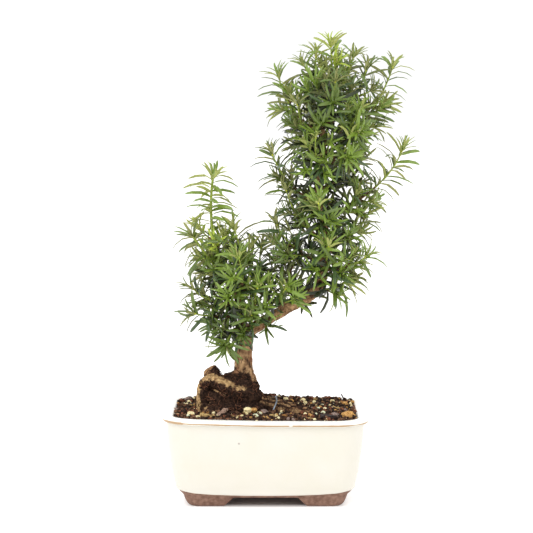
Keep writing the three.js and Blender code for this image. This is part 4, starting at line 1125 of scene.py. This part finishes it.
def spray_stem(limb_name, share, turn, lift, reach):
    """The points of a spray's stem: out of its limb, then bending up along it to the spray's tip."""
    limb = limbs[limb_name]
    along = limb.along(share)
    level, rise = math.radians(turn), math.radians(lift)
    heading = Vector((math.cos(rise) * math.cos(level), math.cos(rise) * math.sin(level), math.sin(rise)))
    tip = limb.point(share) + heading * reach * MM
    outward = (heading - along * heading.dot(along)).normalized()
    at_end = share == 1
    foot = limb.point(share) + (Vector() if at_end else outward * limb.radius(share) * 0.6)
    path = tip - foot
    forward = path.dot(along)
    across = (path - along * forward) * (END_BEND_OUT if at_end else BEND_OUT)
    bend = foot + across + along * forward * (END_BEND_ALONG if at_end else BEND_ALONG)
    return curved(foot, bend, tip, STEM_POINTS)


def at_share(points, share):
    """The place and the direction at a share of a twig's length."""
    lengths = np.concatenate([[0], np.cumsum(np.linalg.norm(np.diff(points, axis=0), axis=1))])
    at = share * lengths[-1]
    k = min(int(np.searchsorted(lengths, at, side="right")) - 1, len(points) - 2)
    k = max(k, 0)
    step = points[k + 1] - points[k]
    place = points[k] + step * (at - lengths[k]) / (lengths[k + 1] - lengths[k])
    return Vector(place), Vector(step).normalized(), lengths[-1]


def leaning(along, lean, turn):
    """A direction that leaves `along` by lean, turned about it by turn."""
    side = Vector((0, 0, 1)) if abs(along.z) < 0.9 else Vector((1, 0, 0))
    across = along.cross(side).normalized()
    across.rotate(Matrix.Rotation(turn, 3, along))
    return along * math.cos(lean) + across * math.sin(lean)


stems = [spray_stem(*row[1:6]) for row in SPRAYS]
stem_points = np.array(stems)
shares = [step / LIMB_SAMPLES for step in range(LIMB_SAMPLES + 1)]
wood_rows = np.array([limb.row(share) for limb in (trunk, right_root, *limbs.values()) for share in shares])
reach_rows = np.array([limbs[REACH].row(share) for share in shares])


def hangs_under(point, own):
    """Whether a point lies under the reaching bough, where only the hanging sprays have needles."""
    if not BARE_FROM < point.x - middle_x < BARE_TO or SPRAYS[own][0] in HANGING_SPRAYS:
        return False
    level = np.interp(point.x, reach_rows[:, 0], reach_rows[:, 2])
    return point.z + BARE_SLOPE * point.y < level - BARE_BELOW


def is_free(point, own):
    """Whether a point lies in the spray's own space, nearest its own stem, and off the wood."""
    if hangs_under(point, own):
        return False
    place = np.array(point)
    away = np.linalg.norm(stem_points - place, axis=2).min(axis=1)
    if np.delete(away, own).min() < away[own] - SPACE_MARGIN:
        return False
    from_wood = np.linalg.norm(wood_rows[:, :3] - place, axis=1) - wood_rows[:, 3]
    return from_wood.min() > WOOD_MARGIN


def grown(points, own, random, spacing, longest, span):
    """The twigs that leave a twig by the golden angle, as lists of points."""
    made = []
    length = at_share(points, 1)[2]
    count = round(length * (span[1] - span[0]) / spacing)
    for k in range(count):
        share = span[0] + (span[1] - span[0]) * (k + 0.5) / count
        foot, along, _ = at_share(points, share)
        long = min(longest, length * REACH_SHARE) * (FOOT_REACH - REACH_FALL * share)
        long *= REACH_LEAST + REACH_MORE * next(random)
        lean = TWIG_LEAN + TWIG_LEAN_MORE * next(random)
        turn = next(random)
        for attempt in range(TRIES):
            heading = leaning(along, lean, turn + (k + attempt * 2) * GOLDEN_ANGLE)
            lifted = (heading + along * 0.5).normalized()
            tip = foot + (heading + lifted) * (long / 2)
            if is_free(tip, own) and is_free(foot + heading * long * 0.6, own):
                made.append(curved(foot, foot + heading * (long / 2), tip, TWIG_POINTS))
                break
    return made


# One needle: a slim blade, keeled on both sides, widest before its middle and drawn to a point. It
# lies along Z, one unit long, its width along X and its upper side towards Y. Each row is a place
# along it and a share of its width
NEEDLE_ROWS = ((0.05, 0.5), (0.16, 0.9), (0.45, 1.0), (0.78, 0.92), (0.93, 0.58))
NEEDLE_FOOT, NEEDLE_POINT = (0, 0.3), (1, 0.04)
bpy.ops.object.select_all(action="DESELECT")
bpy.ops.mesh.primitive_cylinder_add(
    vertices=4, radius=0.5, depth=1, end_fill_type="TRIFAN", location=(0, 0, 0.5)
)
blade = bpy.context.object
settle(blade)
bpy.ops.object.mode_set(mode="EDIT")
for level, _ in NEEDLE_ROWS:
    bpy.ops.mesh.select_all(action="SELECT")
    bpy.ops.mesh.bisect(plane_co=(0, 0, level), plane_no=(0, 0, 1))
for level, width in (NEEDLE_FOOT, *NEEDLE_ROWS, NEEDLE_POINT):
    select_corners(blade, lambda place: abs(place.z - level) < 1e-4)
    bpy.ops.transform.resize(value=(width, width, 1), center_override=(0, 0, level))
bpy.ops.object.mode_set(mode="OBJECT")
needle_corners, needle_faces = pattern_of(blade)
needle_upper = [
    sum(needle_corners[corner][1] for corner in face) / len(face) > -0.02 for face in needle_faces
]

# Needle greens, from the deepest, for older needles and partly a painted shade inside the crown, to lime new
# ones, each with the paler green of its underside.
# Yew needles are leathery and softly glossy above, matt beneath.
UPPER_GREENS = ("#121a0a", "#222c10", "#344b1d", "#546824", "#6c842d", "#9aac38")
UNDER_GREENS = ("#3d4526", "#62663b", "#7d8457", "#9c9f68", "#a8af68", "#babf70")
needle_finishes = []
for step, (upper, under) in enumerate(zip(UPPER_GREENS, UNDER_GREENS)):
    above, _, _ = finish(f"needle_upper_side_{step}", upper, Roughness=0.33, Specular_IOR_Level=0.5)
    below, _, _ = finish(f"needle_underside_{step}", under, Roughness=0.65, Specular_IOR_Level=0.2)
    needle_finishes += [above, below]
# Shoots: brown bark on the older twigs, yellow-green young bark, and yellow-green winter buds
shoot_finishes = [
    grainy("brown_twig_bark", "#523d2a", "#84694b", 1.6, 0.85),
    grainy("young_green_shoot", "#7c8f3a", "#a0b052", 2.2, 0.55),
    grainy("yellow_green_bud", "#b3bb2c", "#d3d444", 1.2, 0.5),
]


def needle_at(foot, along, heading, length, width, bow, twist):
    """The corners of one needle, arched away from its shoot's tip."""
    across = along.cross(heading).normalized()
    across.rotate(Matrix.Rotation(twist, 3, heading))
    upper = heading.cross(across).normalized()
    z = needle_corners[:, 2:3]
    arch = bow * (4 * z * (1 - z) * 0.5 - 0.6 * z**2)
    return (
        np.array(foot)
        + np.array(heading) * z * length
        + np.array(across) * needle_corners[:, 0:1] * width
        + np.array(upper) * (needle_corners[:, 1:2] * NEEDLE_THICKNESS + arch * length)
    )


def needles_on(points, own, random, tone, bare_share, store, droops=False, rosette=0):
    """Sets needles spirally on a twig from its bare foot on, with a tuft of short ones at its tip and,
    where there is a rosette, that many long ones round it."""
    length = at_share(points, 1)[2]
    spacing = DROOPING_SPACING if droops else NEEDLE_SPACING
    count = max(3, round(length * (1 - bare_share) / spacing))
    for k in range(count + TUFT_NEEDLES + rosette):
        in_tuft = count <= k < count + TUFT_NEEDLES
        share = min(bare_share + (1 - bare_share) * (k + 0.5) / count, 1 - 0.02 * next(random))
        foot, along, _ = at_share(points, share)
        # How a needle leans and lifts, how long, broad, bowed and twisted it is. The tuft has its own values
        near_tip = max(0.0, 1 - (1 - share) * length / TIP_STRETCH)
        lean = TUFT_LEAN
        if not in_tuft:
            lean = NEEDLE_LEAN + FOOT_LEAN * (1 - share) - TIP_UPRIGHT * near_tip + DROOP_LEAN * droops
        lean += (TUFT_SPREAD if in_tuft else NEEDLE_SPREAD) * (next(random) - 0.5)
        heading = leaning(along, lean, k * GOLDEN_ANGLE + TURN_SPREAD * next(random))
        heading = (heading + Vector((0, 0, 0.0 if droops or rosette else NEEDLE_LIFT))).normalized()
        size = TUFT_LENGTH if in_tuft else 1 - TIP_SHORTER * near_tip
        size *= LENGTH_LEAST + LENGTH_MORE * next(random)
        width = NEEDLE_WIDTH * (TUFT_WIDTH if in_tuft else WIDTH_LEAST + WIDTH_MORE * next(random))
        bow = BOW_LEAST + BOW_MORE * next(random)
        twist = TWIST_SPREAD * (next(random) - 0.5)
        if droops:
            width *= FRESH_WIDTH
            size *= FRESH_LENGTH
            # Each shows a side, none its edge
            twist = math.copysign(0.25, twist) + 0.6 * twist
        tip = foot + heading * size * NEEDLE_LENGTH
        if not is_free(tip, own) or not is_free(foot.lerp(tip, 0.55), own):
            continue
        # Paler needles at the tips and here and there; darker ones towards the foot, older needles and
        # partly a painted shade deeper in the crown
        young = (in_tuft or near_tip > 0.3) and not droops
        aged_and_shaded = (share < 0.55) + (share < 0.25)
        shade = min(max(tone + young - aged_and_shaded + (next(random) > 0.85), 0), tone + 1)
        store["corners"].append(needle_at(foot, along, heading, size * NEEDLE_LENGTH, width, bow, twist))
        store["looks"].append([2 * shade + (not up) for up in needle_upper])


# These reach out of the crown as single shoots, with side twigs up to this share of their length only
SLIM_SPANS = {"spray_left_leader": 0.46, "spray_right_arm": 0.4, "spray_top": 0.38}
# Fresh shoots, green to the foot, with long needles that arch out level and down
DROOPING_SPRAYS = ("spray_left_leader", "spray_left_outer", "spray_under_elbow")
FIRST_SEED, SEED_STEP, SPUR_SEED = 1000, 77, 5000
# Side twigs leave a stem from the first share of its length on, mostly up to the second
SIDE_FROM, SIDE_TO = 0.06, 0.66
FINE_SPAN = (0.3, 0.7)
# One spray shows the ring of needles at its tip from in front
ROSETTES = {"spray_left_foot_front": 14}
# The share of each kind of twig that has no needles, from its foot on
STEM_BARE, TWIG_BARE, FINE_BARE = 0.04, 0.08, 0.1
# How far along a twig its bark turns green, and how thick a fresh shoot is at its tip
STEM_GREEN, TWIG_GREEN, FRESH_TIP = 0.45, 0.3, 1.9
# Short shoots that leave the boughs themselves, from this share of each bough on, deep in the shade
SPUR_FIRST = {REACH: 0.25, RISE: 0.0, LEFT: 0.2}
# Where the spurs end along each bough, and how many tones darker their needles are: a painted shade of the
# crown's inside
SPUR_LAST, SPUR_PAINTED_SHADE = 0.96, -2
SPUR_SPACING, SPUR_REACH, SPUR_ARCH = 6 * MM, 17 * MM, 5
SPUR_LEAN, SPUR_POINTS = 1.1, 5
# Those on the left of the rising bough stay this short between these shares, where sky shows
SHORT_FROM, SHORT_TO, SHORT_SPUR = 0.36, 0.74, 0.35
for limb_name, limb in limbs.items():
    needles = {"corners": [], "looks": []}
    twigs = {"points": [], "faces": [], "looks": []}
    covered = []
    for own, (name, on_limb, *_, tone, longest) in enumerate(SPRAYS):
        if on_limb != limb_name:
            continue
        covered.append(name)
        random = park_miller(FIRST_SEED + SEED_STEP * own)
        stem, droops = stems[own], name in DROOPING_SPRAYS
        tip_radius, green_from = (TIP_RADIUS * FRESH_TIP, AT_FOOT) if droops else (TIP_RADIUS, STEM_GREEN)
        twig_tube(stem, STEM_RADIUS, tip_radius, twigs, green_from)
        tip, along, _ = at_share(stem, 1)
        bud = [np.array(tip + along * BUD_LENGTH * step) for step in (0, 0.5, 1)]
        twig_tube(bud, BUD_RADIUS, BUD_RADIUS * 0.2, twigs, AT_FOOT, BUD_LOOK)
        side_span = (SIDE_FROM, SLIM_SPANS.get(name, SIDE_TO))
        side_twigs = grown(stem, own, random, SIDE_TWIG_SPACING, longest * MM, side_span)
        needles_on(stem, own, random, tone, STEM_BARE, needles, droops, ROSETTES.get(name, 0))
        for side_twig in side_twigs:
            twig_tube(side_twig, TWIG_RADIUS, TIP_RADIUS, twigs, TWIG_GREEN)
            needles_on(side_twig, own, random, tone, TWIG_BARE, needles)
            for fine_twig in grown(side_twig, own, random, FINE_TWIG_SPACING, FINE_TWIG_REACH, FINE_SPAN):
                twig_tube(fine_twig, TIP_RADIUS * 1.2, TIP_RADIUS, twigs, AT_FOOT)
                needles_on(fine_twig, own, random, tone, FINE_BARE, needles)
    random = park_miller(SPUR_SEED + len(covered))
    spurs = round((SPUR_LAST - SPUR_FIRST[limb_name]) * limb.length() / SPUR_SPACING)
    for k in range(spurs):
        share = SPUR_FIRST[limb_name] + (SPUR_LAST - SPUR_FIRST[limb_name]) * (k + 0.5) / spurs
        along = limb.along(share)
        heading = leaning(along, SPUR_LEAN, k * GOLDEN_ANGLE)
        if limb_name == REACH and heading.z < 0.1:
            continue
        foot = limb.point(share) + heading * limb.radius(share) * 0.7
        reach = SPUR_REACH * (0.7 + 0.6 * next(random))
        if limb_name == RISE and SHORT_FROM < share < SHORT_TO and heading.x < -0.3:
            reach *= SHORT_SPUR
        steps = np.linspace(0, 1, SPUR_POINTS)[:, None]
        arch = steps**2 * np.array(along) * SPUR_ARCH * MM
        shoot = np.array(foot) + steps * np.array(heading) * reach + arch
        own = int(np.linalg.norm(stem_points - shoot[SPUR_POINTS // 2], axis=2).min(axis=1).argmin())
        twig_tube(shoot, TIP_RADIUS * 1.3, TIP_RADIUS, twigs, TWIG_GREEN)
        needles_on(shoot, own, random, max(SPRAYS[own][6] + SPUR_PAINTED_SHADE, 0), FINE_BARE, needles)
    part = limb_name.replace("bough_", "")
    corners, looks = needles["corners"], needles["looks"]
    foliage = joined(f"needles_{part}", needle_faces, corners, looks, needle_finishes)
    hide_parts(*covered)
    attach(foliage, "root")
    shoots = made_of(f"twigs_{part}", shoot_finishes, **twigs)
    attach(shoots, "root")
